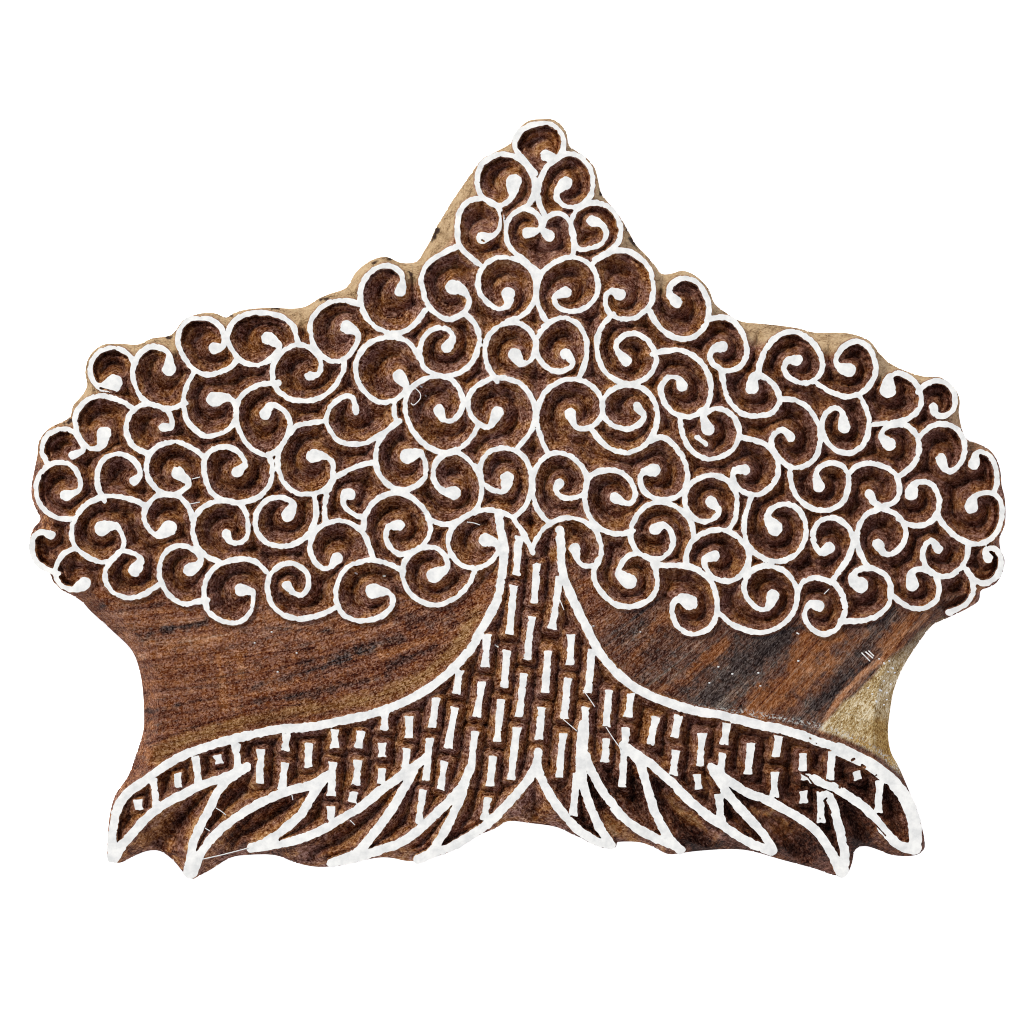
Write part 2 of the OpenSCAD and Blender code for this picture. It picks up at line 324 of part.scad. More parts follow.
// The part of a group that no earlier group has, without slivers
module own_lines(k) {
    offset(delta = 0.06) offset(delta = -0.06) difference() {
        part_lines(k);
        if (k > 0) for (j = [0:k-1]) part_lines(j);
    }
}

// The plank up to the carved ground, and its two waists, which are left almost
// at full height. It stands a little proud of the outermost lines.
module waist(points) {
    translate([0, 0, ground_z - 1]) linear_extrude(land_z - waist_depth - ground_z + 1)
        polygon([for (p = points) at(p)]);
}
module block_body() {
    color(wood) {
        linear_extrude(ground_z) offset(delta = 0) {
            polygon([for (p = outline) at(p)]);
            offset(delta = 0.2) all_lines();
        }
        waist(left_waist);
        waist(right_waist);
    }
}
// Raised lines, carved from the same plank and rooted on its ground
module relief(k) { color(wood) translate([0, 0, ground_z]) linear_extrude(land_z - ground_z) own_lines(k); }
module crown_relief() { relief(0); }
module left_shoulder_relief() { relief(1); }
module left_wing_relief() { relief(2); }
module left_heart_relief() { relief(3); }
module centre_relief() { relief(4); }
module right_heart_relief() { relief(5); }
module right_shoulder_relief() { relief(6); }
module right_wing_relief() { relief(7); }
module trunk_line_relief() { relief(8); }
module left_root_relief() { relief(9); }
module right_root_relief() { relief(10); }
module bark_dash_relief() { relief(11); }
// White films on the bare tops of the lines
module film(k) { color(white) translate([0, 0, land_z]) linear_extrude(coat_t) own_lines(k); }
module crown_coat() { film(0); }
module left_shoulder_coat() { film(1); }
module left_wing_coat() { film(2); }
module left_heart_coat() { film(3); }
module centre_coat() { film(4); }
module right_heart_coat() { film(5); }
module right_shoulder_coat() { film(6); }
module right_wing_coat() { film(7); }
module trunk_line_coat() { film(8); }
module left_root_coat() { film(9); }
module right_root_coat() { film(10); }
module bark_dash_coat() { film(11); }

block_body();
crown_relief();
left_shoulder_relief();
left_wing_relief();
left_heart_relief();
centre_relief();
right_heart_relief();
right_shoulder_relief();
right_wing_relief();
trunk_line_relief();
left_root_relief();
right_root_relief();
bark_dash_relief();
crown_coat();
left_shoulder_coat();
left_wing_coat();
left_heart_coat();
centre_coat();
right_heart_coat();
right_shoulder_coat();
right_wing_coat();
trunk_line_coat();
left_root_coat();
right_root_coat();
bark_dash_coat();
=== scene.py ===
import math
import bpy
import numpy as np
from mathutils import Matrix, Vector
from mathutils.geometry import delaunay_2d_cdt


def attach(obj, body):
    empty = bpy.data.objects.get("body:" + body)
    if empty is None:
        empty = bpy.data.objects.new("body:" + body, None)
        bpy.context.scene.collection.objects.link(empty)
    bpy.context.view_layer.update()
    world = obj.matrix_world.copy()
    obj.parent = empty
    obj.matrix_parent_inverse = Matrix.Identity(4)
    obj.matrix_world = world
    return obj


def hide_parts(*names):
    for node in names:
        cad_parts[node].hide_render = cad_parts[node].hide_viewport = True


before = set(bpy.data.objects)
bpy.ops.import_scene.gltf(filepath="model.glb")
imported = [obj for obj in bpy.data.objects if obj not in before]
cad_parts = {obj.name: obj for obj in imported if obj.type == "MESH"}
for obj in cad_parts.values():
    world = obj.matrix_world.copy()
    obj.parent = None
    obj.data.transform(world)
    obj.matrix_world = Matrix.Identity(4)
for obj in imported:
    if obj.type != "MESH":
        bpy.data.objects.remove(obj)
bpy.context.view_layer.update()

# ---------------------------------------------------------------- measures
U = 0.15e-3                # one drawing unit, in metres
MX, MY = 517.0, 499.25     # middle of the drawing sheet
TOP = 0.025                # printing face
COAT = 0.0003              # white coat
LAND = TOP - COAT          # bare tops of the raised lines
DEPTH = 0.004              # carved ground below the printing face
PITCH = 1.2                # spacing of the carving grid, in drawing units


def at(px, py, z):
    return Vector(((px - MX) * U, (MY - py) * U, z))


# ---------------------------------------------------------------- camera, light, floor
scene = bpy.context.scene
cam_data = bpy.data.cameras.new("camera")
cam = bpy.data.objects.new("camera", cam_data)
scene.collection.objects.link(cam)
DIST = 2.0
cam_data.sensor_width = 36.0
cam_data.lens = 36.0 * DIST / (1024 * U)
cam_data.clip_start = 0.01
cam_data.clip_end = 20.0
cam.location = at(512, 512, TOP + DIST)
cam.rotation_euler = (0.0, 0.0, 0.0)
scene.camera = cam

world = bpy.data.worlds.new("studio")
scene.world = world
world.use_nodes = True
world.node_tree.nodes["Background"].inputs["Color"].default_value = (0.95, 0.98, 1.14, 1.0)
world.node_tree.nodes["Background"].inputs["Strength"].default_value = 0.42
scene.view_settings.view_transform = "Standard"
scene.view_settings.look = "None"
scene.cycles.filter_width = 1.0


def area_light(name, place, aim, size, power, colour=(1.0, 1.0, 1.0)):
    data = bpy.data.lights.new(name, "AREA")
    data.shape = "DISK"
    data.size = size
    data.energy = power
    data.color = colour
    lamp = bpy.data.objects.new(name, data)
    scene.collection.objects.link(lamp)
    lamp.location = place
    lamp.rotation_euler = (Vector(aim) - Vector(place)).to_track_quat("-Z", "Y").to_euler()
    return lamp


key = area_light("key", (-1.24, 1.36, 2.36), (0.0, 0.0, 0.02), 0.50, 64.5, (1.03, 1.0, 0.88))
fill = area_light("fill", (1.35, -1.05, 2.25), (0.0, 0.0, 0.02), 2.4, 2.0)


def plain(name, colour, rough):
    m = bpy.data.materials.new(name)
    m.use_nodes = True
    b = m.node_tree.nodes["Principled BSDF"]
    b.inputs["Base Color"].default_value = (*colour, 1.0)
    b.inputs["Roughness"].default_value = rough
    return m


bpy.ops.mesh.primitive_plane_add(size=6.0, location=(0.0, 0.0, 0.0))
floor = bpy.context.object
floor.name = "floor"
floor_mat = plain("floor_white", (0.92, 0.92, 0.92), 0.9)
floor_bsdf = floor_mat.node_tree.nodes["Principled BSDF"]
floor_bsdf.inputs["Specular IOR Level"].default_value = 0.0
floor_bsdf.inputs["Emission Color"].default_value = (1.0, 1.0, 1.0, 1.0)
floor_bsdf.inputs["Emission Strength"].default_value = 0.84
floor.data.materials.append(floor_mat)

# ---------------------------------------------------------------- the drawing
# Every line: [radius of its bulb, points along its middle from its tail to the
# middle of the bulb, radius at the tail, half width], in drawing units.
CROWN = [
 [7,[[534,172],[524,159],[516,150],[515,140],[521,131],[532,125],[545,123],[556,127],[563,137],[563,148],[557,158],[546,155]]],
 [9,[[520,209],[529,204],[534,194],[534,180],[528,167],[518,158],[504,154],[492,157],[481,166],[477,180],[480,193],[489,202],[501,205],[511,198],[514,182]]],
 [8,[[545,216],[540,205],[538,193],[540,180],[546,168],[556,159],[569,154],[581,157],[590,168],[593,182],[590,196],[580,205],[568,207],[558,200],[557,191],[566,183]]],
 [7,[[482,266],[474,260],[465,252],[459,243],[457,228],[459,214],[465,204],[475,199],[487,200],[497,206],[502,217],[500,228],[492,236],[482,238]]],
 [7,[[537,271],[525,261],[513,251],[507,241],[506,228],[511,216],[522,209],[533,211],[540,219],[540,229],[528,233]]],
 [7,[[573,255],[574,243],[573,231],[569,221],[562,214],[553,214],[545,220],[543,229],[549,236]]],
 [7,[[596,259],[607,252],[617,244],[621,231],[617,217],[607,206],[591,203],[577,210],[571,222],[573,238],[579,249],[591,248],[602,243],[606,233],[601,224],[592,221]]],
 [9,[[458,246],[449,250],[438,256],[427,265],[421,279],[423,291],[427,303],[435,313],[446,319],[457,317],[466,310],[469,300],[463,291],[453,287]]],
 [8,[[509,321],[521,316],[530,308],[535,297],[536,283],[531,270],[520,261],[507,257],[494,259],[483,267],[478,280],[480,293],[488,303],[499,309],[508,304],[508,294]]],
 [7,[[546,321],[540,310],[537,300],[537,288],[540,276],[548,267],[560,260],[573,257],[585,261],[594,270],[598,283],[596,296],[588,306],[577,311],[566,311],[557,306],[555,297],[566,292]]],
 [7,[[593,263],[602,257],[614,251],[628,251],[641,259],[650,270],[653,285],[652,300],[645,311],[634,318],[622,319],[612,315],[606,306],[606,296],[612,291],[620,295]]],
]
LEFT_SHOULDER = [
 [7,[[424,312],[417,322],[405,331],[391,333],[377,328],[366,317],[361,303],[361,289],[367,276],[378,267],[390,266],[400,272],[403,281],[400,291]]],
 [8,[[418,356],[411,345],[402,339],[388,337],[373,341],[362,350],[356,363],[357,377],[364,391],[376,401],[390,402],[401,396],[406,386],[399,376]]],
 [7,[[466,314],[475,324],[479,336],[478,349],[472,362],[461,372],[447,376],[434,374],[424,367],[420,355],[421,343],[427,333],[437,328],[447,329],[453,337],[447,347]]],
 [7,[[236,361],[228,369],[215,374],[203,374],[191,367],[183,356],[178,343],[180,330],[188,320],[200,318],[212,320],[221,328],[224,340],[222,347],[214,348]]],
 [8,[[298,343],[294,328],[284,318],[268,313],[252,313],[238,318],[230,327],[228,340],[234,353],[243,362],[255,365],[266,362],[275,354],[279,346],[268,338]]],
 [6,[[344,361],[343,371],[338,381],[331,390],[320,398],[307,401],[294,400],[283,395],[275,386],[272,373],[276,360],[285,350],[297,345],[308,347],[317,354],[321,365],[318,374],[309,376]]],
 [8,[[358,304],[348,301],[335,301],[323,306],[314,315],[310,327],[312,340],[317,351],[327,359],[338,361],[347,357],[354,348],[358,338],[356,332],[347,327]]],
 [9,[[194,373],[188,383],[184,395],[184,408],[187,420],[195,430],[206,436],[219,434],[230,428],[236,418],[236,407],[229,398],[214,399]]],
 [7,[[277,383],[263,384],[250,389],[240,398],[236,410],[237,423],[242,436],[250,447],[261,454],[272,454],[281,446],[287,436],[290,425],[287,414],[279,407],[271,405],[265,414]]],
 [5,[[394,403],[394,413],[395,421],[388,430],[377,437],[365,443],[351,444],[339,441],[331,432],[326,421],[329,410],[336,401],[346,396],[353,399],[356,411]]],
 [10,[[134,362],[127,353],[115,348],[103,350],[94,358],[90,370],[93,381],[102,387],[114,383]]],
 [8,[[184,404],[172,408],[158,406],[146,401],[138,392],[133,378],[134,364],[140,353],[150,347],[161,348],[169,355],[169,369]]],
]
LEFT_WING = [
 [9,[[131,407],[123,402],[113,398],[100,396],[89,399],[80,407],[75,418],[77,430],[82,441],[90,448],[100,446],[104,434]]],
 [6,[[146,453],[136,448],[129,440],[126,429],[128,418],[135,409],[147,404],[159,407],[168,412],[172,420],[171,427],[163,427]]],
 [6,[[47,462],[42,452],[44,440],[52,432],[64,429],[74,433],[81,443],[83,450],[73,455]]],
 [7,[[70,519],[58,518],[47,512],[39,502],[36,490],[38,478],[44,469],[54,463],[66,463],[75,469],[80,480],[78,491],[66,495]]],
 [6,[[104,499],[99,490],[97,478],[99,467],[106,458],[117,454],[129,457],[138,466],[140,475],[134,481]]],
 [8,[[203,456],[192,448],[178,442],[165,443],[153,450],[147,461],[147,473],[152,484],[160,492],[171,495],[182,491],[189,483],[178,473]]],
 [9,[[143,504],[130,499],[114,496],[99,498],[86,505],[77,515],[72,528],[73,542],[80,552],[92,559],[105,562],[115,556],[123,547],[123,537],[116,526],[102,528]]],
 [9,[[193,522],[189,508],[181,498],[168,494],[155,497],[146,507],[144,518],[149,529],[158,535],[169,528]]],
 [6,[[57,573],[45,568],[36,561],[32,550],[33,539],[40,532],[51,535]]],
 [8,[[73,549],[63,554],[57,564],[56,575],[61,585],[70,589],[78,588],[84,584]]],
 [8,[[160,584],[151,590],[140,596],[128,598],[116,594],[108,586],[105,575],[108,565],[115,557],[122,551],[133,553],[141,560],[135,570]]],
 [8,[[206,600],[196,602],[186,604],[175,600],[166,591],[160,578],[160,564],[166,552],[176,546],[188,547],[197,553],[201,562],[190,570]]],
 [8,[[265,570],[256,562],[243,559],[229,561],[217,566],[208,576],[204,589],[205,602],[210,613],[220,620],[232,623],[243,620],[250,612],[253,601],[252,592],[241,590]]],
 [7,[[270,458],[272,468],[271,480],[266,490],[257,498],[244,502],[231,502],[218,498],[209,489],[205,476],[204,463],[209,452],[220,447],[232,448],[241,455],[245,464],[237,472]]],
 [6,[[219,562],[208,557],[199,549],[194,538],[193,526],[197,514],[206,505],[219,501],[232,501],[242,506],[247,516],[248,528],[246,538],[239,543],[231,542],[226,534]]],
]
LEFT_HEART = [
 [8,[[325,421],[311,423],[297,426],[289,434],[282,445],[278,458],[279,471],[285,484],[297,493],[310,494],[322,491],[330,483],[333,472],[332,462],[324,456],[313,456]]],
 [4.5,[[374,462],[361,465],[348,470],[336,478],[329,489],[325,502],[325,514],[326,522]]],
 [7,[[362,517],[353,514],[346,508],[343,501],[345,494],[350,494]]],
 [8,[[314,496],[316,508],[315,521],[309,533],[299,542],[286,546],[272,545],[262,539],[256,528],[256,515],[262,504],[273,498],[284,498],[293,504],[288,515]]],
 [9,[[398,422],[388,430],[380,440],[376,452],[376,464],[381,477],[390,486],[402,490],[414,487],[423,480],[426,469],[424,459],[419,453],[407,456]]],
 [7,[[477,427],[471,438],[461,447],[448,452],[434,450],[422,442],[413,431],[407,418],[405,405],[408,393],[416,384],[428,378],[441,376],[452,380],[459,389],[463,400],[461,411],[453,420],[444,420],[439,410]]],
 [7,[[364,527],[365,516],[371,505],[381,497],[393,493],[405,495],[416,501],[425,511],[430,523],[429,536],[422,546],[411,552],[399,554],[390,547],[386,536],[389,527],[399,525]]],
 [8,[[477,509],[481,496],[481,482],[477,470],[469,460],[458,453],[446,454],[437,461],[433,472],[435,483],[443,491],[454,493]]],
 [6,[[337,607],[327,612],[314,617],[300,619],[286,616],[275,608],[269,597],[268,584],[271,573],[279,566],[290,563],[301,567],[308,576],[308,587],[302,595],[294,593],[287,586]]],
 [7,[[373,557],[369,546],[364,534],[355,526],[343,521],[330,522],[319,528],[312,538],[310,550],[314,561],[322,568],[330,567],[337,558]]],
 [9,[[402,570],[386,563],[372,560],[359,562],[348,567],[340,577],[336,590],[337,603],[343,614],[354,620],[367,620],[380,617],[390,609],[393,599],[387,592],[373,591]]],
 [9,[[474,572],[469,584],[460,594],[448,602],[434,605],[420,601],[410,593],[404,582],[403,570],[406,559],[415,551],[427,547],[438,549],[446,558],[446,568],[434,575]]],
 [4.5,[[430,520],[443,524],[455,522],[466,516],[477,509]]],
]
CENTRE = [
 [8,[[496,380],[492,374],[487,364],[485,351],[487,339],[495,329],[507,323],[519,323],[529,330],[535,340],[535,352],[530,361],[521,363],[515,355]]],
 [7,[[579,378],[584,366],[587,353],[586,340],[581,328],[572,320],[560,318],[549,323],[540,332],[536,344],[538,356],[545,366],[555,371],[566,370],[573,363],[566,354]]],
 [8,[[519,446],[527,437],[533,426],[535,413],[533,401],[527,390],[517,382],[504,378],[491,379],[480,384],[471,392],[468,403],[470,413],[477,422],[489,427],[497,413]]],
 [8,[[515,517],[524,508],[530,496],[532,483],[530,469],[524,457],[514,450],[501,448],[489,452],[482,461],[480,473],[484,484],[493,490],[504,491],[507,478]]],
 [8,[[532,551],[527,540],[520,528],[511,517],[499,511],[485,510],[471,514],[459,521],[451,531],[448,543],[452,555],[460,564],[472,568],[484,566],[494,558],[498,549],[494,542],[485,540]]],
 [7,[[548,453],[543,443],[539,431],[537,418],[539,404],[546,391],[557,383],[570,379],[583,381],[594,388],[601,398],[603,410],[598,421],[588,428],[576,427],[570,414]]],
 [6,[[549,523],[541,514],[535,503],[533,490],[533,477],[537,466],[545,457],[556,453],[568,455],[578,462],[585,472],[587,484],[583,494],[573,498],[562,497],[556,490],[560,483]]],
 [7,[[532,548],[539,535],[548,525],[560,519],[573,518],[585,522],[595,530],[600,542],[601,554],[596,564],[586,566],[578,561],[575,549]]],
]
RIGHT_HEART = [
 [7,[[612,315],[607,320],[600,330],[597,342],[598,356],[603,369],[614,379],[628,384],[641,381],[651,373],[656,360],[653,348],[645,338],[634,333],[622,337],[616,345],[619,353],[626,361]]],
 [7,[[653,354],[665,351],[679,350],[692,355],[702,364],[709,377],[711,391],[708,404],[700,412],[688,417],[675,413],[666,405],[661,394],[662,384],[670,377],[679,379],[682,386]]],
 [6,[[592,430],[598,438],[606,446],[617,451],[630,452],[642,447],[651,438],[656,426],[657,413],[654,401],[647,392],[637,386],[625,385],[613,389],[605,397],[602,408],[606,419],[615,426],[627,429],[638,425],[644,416],[637,407]]],
 [8,[[680,419],[682,432],[687,444],[696,454],[709,459],[722,456],[733,449],[739,437],[738,425],[732,415],[722,409],[711,410],[704,417],[708,429]]],
 [3,[[698,438],[703,442],[706,444]]],
 [7,[[631,531],[620,534],[608,532],[597,526],[589,516],[585,504],[585,491],[588,479],[597,472],[610,470],[622,473],[631,482],[635,493],[632,502],[625,503],[615,498]]],
 [8,[[651,441],[662,437],[672,443],[680,453],[686,466],[687,480],[682,492],[671,499],[658,499],[646,493],[640,482],[643,472],[654,470]]],
 [7,[[694,538],[692,525],[685,514],[674,506],[661,502],[648,505],[638,514],[632,526],[631,539],[636,550],[646,557],[658,559],[668,553],[673,543],[671,532],[664,525],[655,529]]],
 [9,[[598,560],[594,571],[596,583],[603,594],[613,603],[627,607],[641,604],[652,597],[657,585],[656,572],[652,561],[642,555],[630,555],[622,563],[619,573],[629,581]]],
 [9,[[656,565],[670,565],[685,566],[698,570],[709,579],[715,590],[717,604],[716,617],[709,628],[697,634],[685,632],[676,624],[672,612],[674,602],[681,598],[690,603]]],
 [7,[[686,564],[687,553],[692,542],[702,534],[714,530],[727,531],[738,537],[746,547],[749,558],[745,570],[736,579],[724,581],[713,577],[706,568],[705,559],[714,556]]],
 [7,[[729,530],[735,519],[737,506],[736,493],[729,482],[718,476],[705,476],[694,481],[687,490],[685,502],[690,514],[700,521],[711,520],[719,512],[711,502]]],
]
RIGHT_SHOULDER = [
 [7,[[651,314],[655,321],[663,330],[674,337],[687,339],[699,333],[706,323],[709,309],[706,296],[700,285],[690,279],[680,279],[671,285],[670,295],[677,302]]],
 [8,[[722,374],[724,386],[728,398],[735,408],[746,415],[759,416],[771,413],[779,404],[778,392],[771,382],[762,376],[754,376],[752,388]]],
 [7,[[711,319],[722,317],[733,321],[741,331],[746,343],[746,356],[740,366],[728,371],[717,367],[710,358],[713,349],[722,347]]],
 [7,[[758,375],[760,363],[765,351],[773,340],[784,333],[796,332],[808,338],[817,348],[822,360],[821,372],[813,381],[801,383],[790,378],[784,369],[787,361],[797,360]]],
 [8,[[817,383],[827,390],[839,395],[852,396],[864,391],[872,381],[876,368],[873,355],[866,345],[856,341],[846,345],[839,352],[836,360],[839,367],[849,370]]],
 [8,[[860,397],[866,408],[869,421],[868,434],[862,446],[850,453],[837,451],[828,443],[823,433],[822,422],[826,413],[835,408],[842,413],[844,427]]],
 [6,[[783,399],[795,400],[807,407],[815,417],[820,430],[820,443],[816,456],[807,465],[795,468],[784,463],[776,454],[771,443],[775,433],[783,430],[791,437]]],
]
RIGHT_WING = [
 [7,[[741,438],[753,440],[765,444],[773,452],[778,463],[777,476],[770,487],[760,494],[748,494],[738,488],[733,479],[735,470],[745,470]]],
 [7,[[790,468],[791,482],[796,495],[806,505],[819,510],[832,509],[843,501],[848,489],[848,476],[842,466],[831,463],[820,467],[816,475],[819,486]]],
 [9,[[751,498],[747,509],[744,522],[745,536],[750,547],[759,556],[772,561],[785,560],[797,553],[804,542],[806,529],[803,516],[795,507],[784,504],[773,508],[767,517],[775,528]]],
 [7,[[832,581],[839,571],[847,560],[852,548],[853,538],[848,527],[838,519],[827,518],[818,523],[813,533],[815,545],[821,552],[829,548]]],
 [6,[[849,473],[857,466],[869,463],[882,466],[893,472],[899,482],[899,494],[893,503],[883,506],[874,502],[869,494]]],
 [7,[[866,564],[860,553],[857,541],[858,529],[863,518],[873,511],[885,510],[896,514],[903,522],[906,532],[903,544],[895,552],[885,554],[878,544]]],
 [9,[[842,621],[856,621],[870,619],[881,613],[889,603],[891,590],[888,579],[880,571],[868,568],[857,571],[853,579],[860,585]]],
 [7,[[799,590],[803,582],[813,578],[826,580],[836,585],[842,595],[845,608],[842,620],[835,630],[824,634],[813,630],[806,621],[805,611],[811,604],[819,606]]],
 [8,[[721,615],[729,622],[740,628],[754,632],[768,631],[780,626],[790,617],[796,605],[797,591],[792,579],[782,570],[769,566],[757,568],[748,575],[744,586],[747,597],[754,606],[763,610],[769,606],[773,596]]],
 [9,[[875,424],[888,423],[901,421],[912,416],[920,407],[921,396],[917,385],[909,377],[898,373],[889,378],[888,390]]],
 [6,[[919,391],[926,384],[937,381],[947,384],[954,393],[955,404],[951,412],[943,416],[935,414],[933,407]]],
 [7,[[920,436],[930,427],[942,424],[954,427],[962,436],[965,448],[962,461],[954,470],[946,470],[941,459]]],
 [8,[[902,474],[912,466],[918,455],[919,443],[914,432],[905,425],[893,425],[884,429],[882,436],[889,444]]],
 [7,[[994,492],[997,481],[996,469],[992,459],[985,453],[977,453],[974,464]]],
 [8,[[938,515],[944,525],[953,534],[964,541],[977,544],[989,540],[998,530],[1002,516],[1001,503],[994,494],[983,493],[974,497],[971,507]]],
 [8,[[900,520],[910,525],[922,525],[932,520],[938,510],[939,498],[934,487],[925,482],[915,484],[911,494]]],
 [6,[[968,549],[966,560],[959,570],[948,576],[937,575],[927,568],[923,557],[925,546],[932,541],[938,549]]],
 [8,[[894,597],[903,604],[915,609],[927,607],[936,600],[939,589],[936,578],[928,571],[918,569],[911,574],[912,584]]],
 [6,[[968,571],[975,580],[986,583],[996,577],[1001,566],[1000,555],[993,548],[986,551],[988,558]]],
 [4.5,[[967,571],[972,581],[973,592],[967,603],[957,609],[949,612]]],
]
TRUNK = [
 [7,[[499,516],[501,530],[504,548],[503,565],[501,582],[497,600],[489,616],[480,632],[471,648],[459,662],[444,677],[424,691],[400,704],[375,713],[345,720],[310,727],[280,729],[250,735],[222,742],[200,749],[182,756],[160,769],[142,783],[128,793],[119,805],[114,821],[112,840],[113,857]]],
 [8,[[560,530],[561,550],[562,568],[566,582],[572,597],[580,614],[589,633],[599,651],[611,667],[625,680],[641,691],[661,700],[681,707],[701,712],[720,715],[740,720],[760,725],[780,729],[800,735],[820,742],[840,749],[860,759],[878,770],[893,782],[904,796],[911,811],[915,828],[915,847]]],
]
ROOTS_L = [
 [4.5,[[114,857],[122,845],[132,834],[148,817],[165,804],[182,795],[200,786],[220,779],[238,772],[247,767]],7],
 [8,[[238,773],[226,782],[217,793],[211,806],[203,821],[195,838],[191,856],[190,872]]],
 [4.5,[[191,872],[199,856],[209,842],[222,828],[240,815],[258,804],[275,796],[292,790],[307,786],[319,781],[328,775]],8],
 [4.5,[[326,777],[318,787],[310,800],[301,814],[288,826],[274,837],[260,845],[251,848]]],
 [4.5,[[251,848],[275,845],[300,839],[320,831],[336,822],[351,813],[366,803],[380,791],[393,782],[405,773],[416,765],[427,757]]],
 [5,[[413,771],[408,782],[399,796],[392,809],[382,823],[370,838],[360,850],[345,858],[331,863]]],
 [4.5,[[331,863],[352,859],[372,853],[390,847],[405,840],[420,829],[437,813],[454,796],[465,781],[471,766]]],
 [4.5,[[465,783],[460,799],[453,814],[446,829],[438,842],[430,853],[418,859]]],
 [4.5,[[418,859],[440,851],[455,845],[470,836],[485,826],[500,812],[513,798],[523,786],[531,775],[537,763],[538,752]]],
]
ROOTS_R = [
 [5,[[537,762],[539,772],[546,788],[555,803],[565,816],[575,827],[588,837],[601,843],[612,845]]],
 [5,[[581,762],[582,776],[585,791],[590,806],[596,820],[603,833],[611,844]]],
 [5,[[582,748],[588,762],[598,784],[610,801],[622,816],[637,828],[653,837],[670,844],[681,850]]],
 [5,[[632,753],[641,765],[645,779],[650,796],[655,812],[662,826],[670,839],[680,849]]],
 [6,[[623,745],[634,753],[647,761],[659,771],[671,782],[684,795],[697,807],[711,818],[725,827],[740,837],[755,845],[772,851]]],
 [6,[[711,767],[719,780],[728,794],[738,806],[749,818],[759,829],[767,839],[773,850]]],
 [8,[[712,768],[722,776],[735,785],[750,794],[765,799],[780,807],[795,815],[808,824],[819,834],[828,847],[835,859],[841,870]]],
 [8,[[828,794],[834,808],[838,823],[842,840],[845,856],[842,871]]],
 [7,[[813,779],[825,784],[838,790],[850,797],[862,805],[872,815],[881,826],[890,837],[901,846],[914,849]]],
]
RIGHT_BAND = [
 [7,[[836,748],[860,759],[878,770],[893,782],[904,796],[911,811],[915,828],[915,846]],5,6.5],
 [6,[[584,724],[582,745],[581,768],[582,784]],5.5,5.8],
]
DASHES = [
 [519,536,516,575],[537,563,534,604],[514,585,509,635],[532,616,527,660],[560,576,552,629],
 [487,634,485,667],[507,650,504,688],[548,650,545,693],[571,634,570,665],[460,670,456,694],
 [482,681,477,717],[524,673,519,717],[568,678,564,719],[592,649,588,693],[609,690,606,727],
 [631,693,628,717],[385,712,384,730],[409,716,409,738],[436,698,432,728],[455,707,448,748],
 [501,699,497,742],[542,707,539,740],[475,731,471,768],[517,727,511,780],[563,733,559,778],
 [586,707,580,775],[606,738,605,762],[626,727,622,787],[656,717,650,745],[679,715,674,738],
 [676,750,673,775],[309,743,308,768],[335,729,335,748],[361,731,358,748],[382,743,382,757],
 [407,748,405,772],[430,738,426,781],[445,761,440,790],[493,756,490,786],[333,762,331,796],
 [358,760,356,785],[382,768,381,784],[423,789,419,824],[488,797,484,820],[354,792,352,802],
 [331,806,331,826],[577,773,573,816],[138,800,139,810],[153,778,157,806],[177,773,178,788],
 [195,756,199,784],[217,755,219,764],[236,744,238,770],[261,749,259,784],[286,734,285,751],
 [285,762,282,789],[702,733,700,766],[727,723,724,745],[697,774,699,790],[723,753,720,772],
 [751,743,748,774],[779,736,776,757],[775,772,774,797],[803,753,803,771],[805,774,805,780],
 [803,791,804,803],[832,751,830,780],[856,771,858,780],[880,781,878,813],[719,794,721,821],
 [821,791,821,823]]
OUTLINE = [
 [540,118],[528,120],[518,129],[511,142],[493,152],[482,158],[472,171],[461,187],
 [452,200],[443,215],[435,228],[431,238],[424,250],[416,261],[400,262],[386,256],
 [370,260],[355,272],[346,287],[330,293],[318,298],[305,306],[290,308],[270,307],
 [245,309],[232,313],[225,317],[212,312],[195,314],[182,320],[173,332],[165,336],
 [150,338],[137,344],[115,343],[100,345],[88,356],[84,372],[86,385],[80,396],
 [72,405],[69,416],[62,421],[48,428],[38,440],[36,455],[33,470],[30,487],
 [31,500],[36,512],[39,520],[31,530],[28,545],[29,555],[35,565],[48,573],
 [52,582],[60,590],[72,596],[82,603],[90,612],
 [112,632],[131,651],[139,673],[142,694],[143,716],[142,733],[135,755],
 [127,777],[114,796],[108,820],[106,850],
 [107,859],[118,864],[133,857],[146,852],[159,852],[172,861],[183,874],[191,880],
 [198,877],[211,870],[229,859],[246,856],[274,856],[296,864],[318,868],[340,866],
 [375,859],[392,859],[407,862],[428,861],[436,855],[467,840],[494,830],[508,822],
 [530,824],[557,828],[579,838],[610,846],[617,843],[639,843],[654,848],[668,855],
 [682,854],[698,852],[730,850],[752,852],[780,860],[795,864],[817,870],[834,876],
 [847,876],[853,864],[856,851],[866,847],[880,851],[893,856],[912,857],[923,853],
 [926,843],[919,814],[901,770],[892,753],[889,733],[891,712],[895,690],
 [904,668],[917,647],[932,627],[940,622],
 [947,619],[958,614],[970,608],[980,601],[982,591],[989,588],[998,583],[1004,572],
 [1006,560],[1002,550],[1001,538],[1006,526],[1007,512],[1006,497],[1003,485],
 [1002,472],[998,459],[990,449],[978,443],[968,439],[963,428],[960,412],
 [961,400],[956,388],[942,377],[924,376],[903,369],[890,362],[880,352],[870,340],
 [855,334],[840,332],[815,332],[800,328],[780,325],[760,323],[742,321],[728,313],
 [715,303],[709,288],[696,275],[683,270],[672,273],[662,273],[654,263],[645,253],
 [637,245],[630,233],[624,222],[616,210],[607,200],[601,191],[598,178],[595,167],
 [588,158],[578,151],[569,144],[566,130],[555,119]]

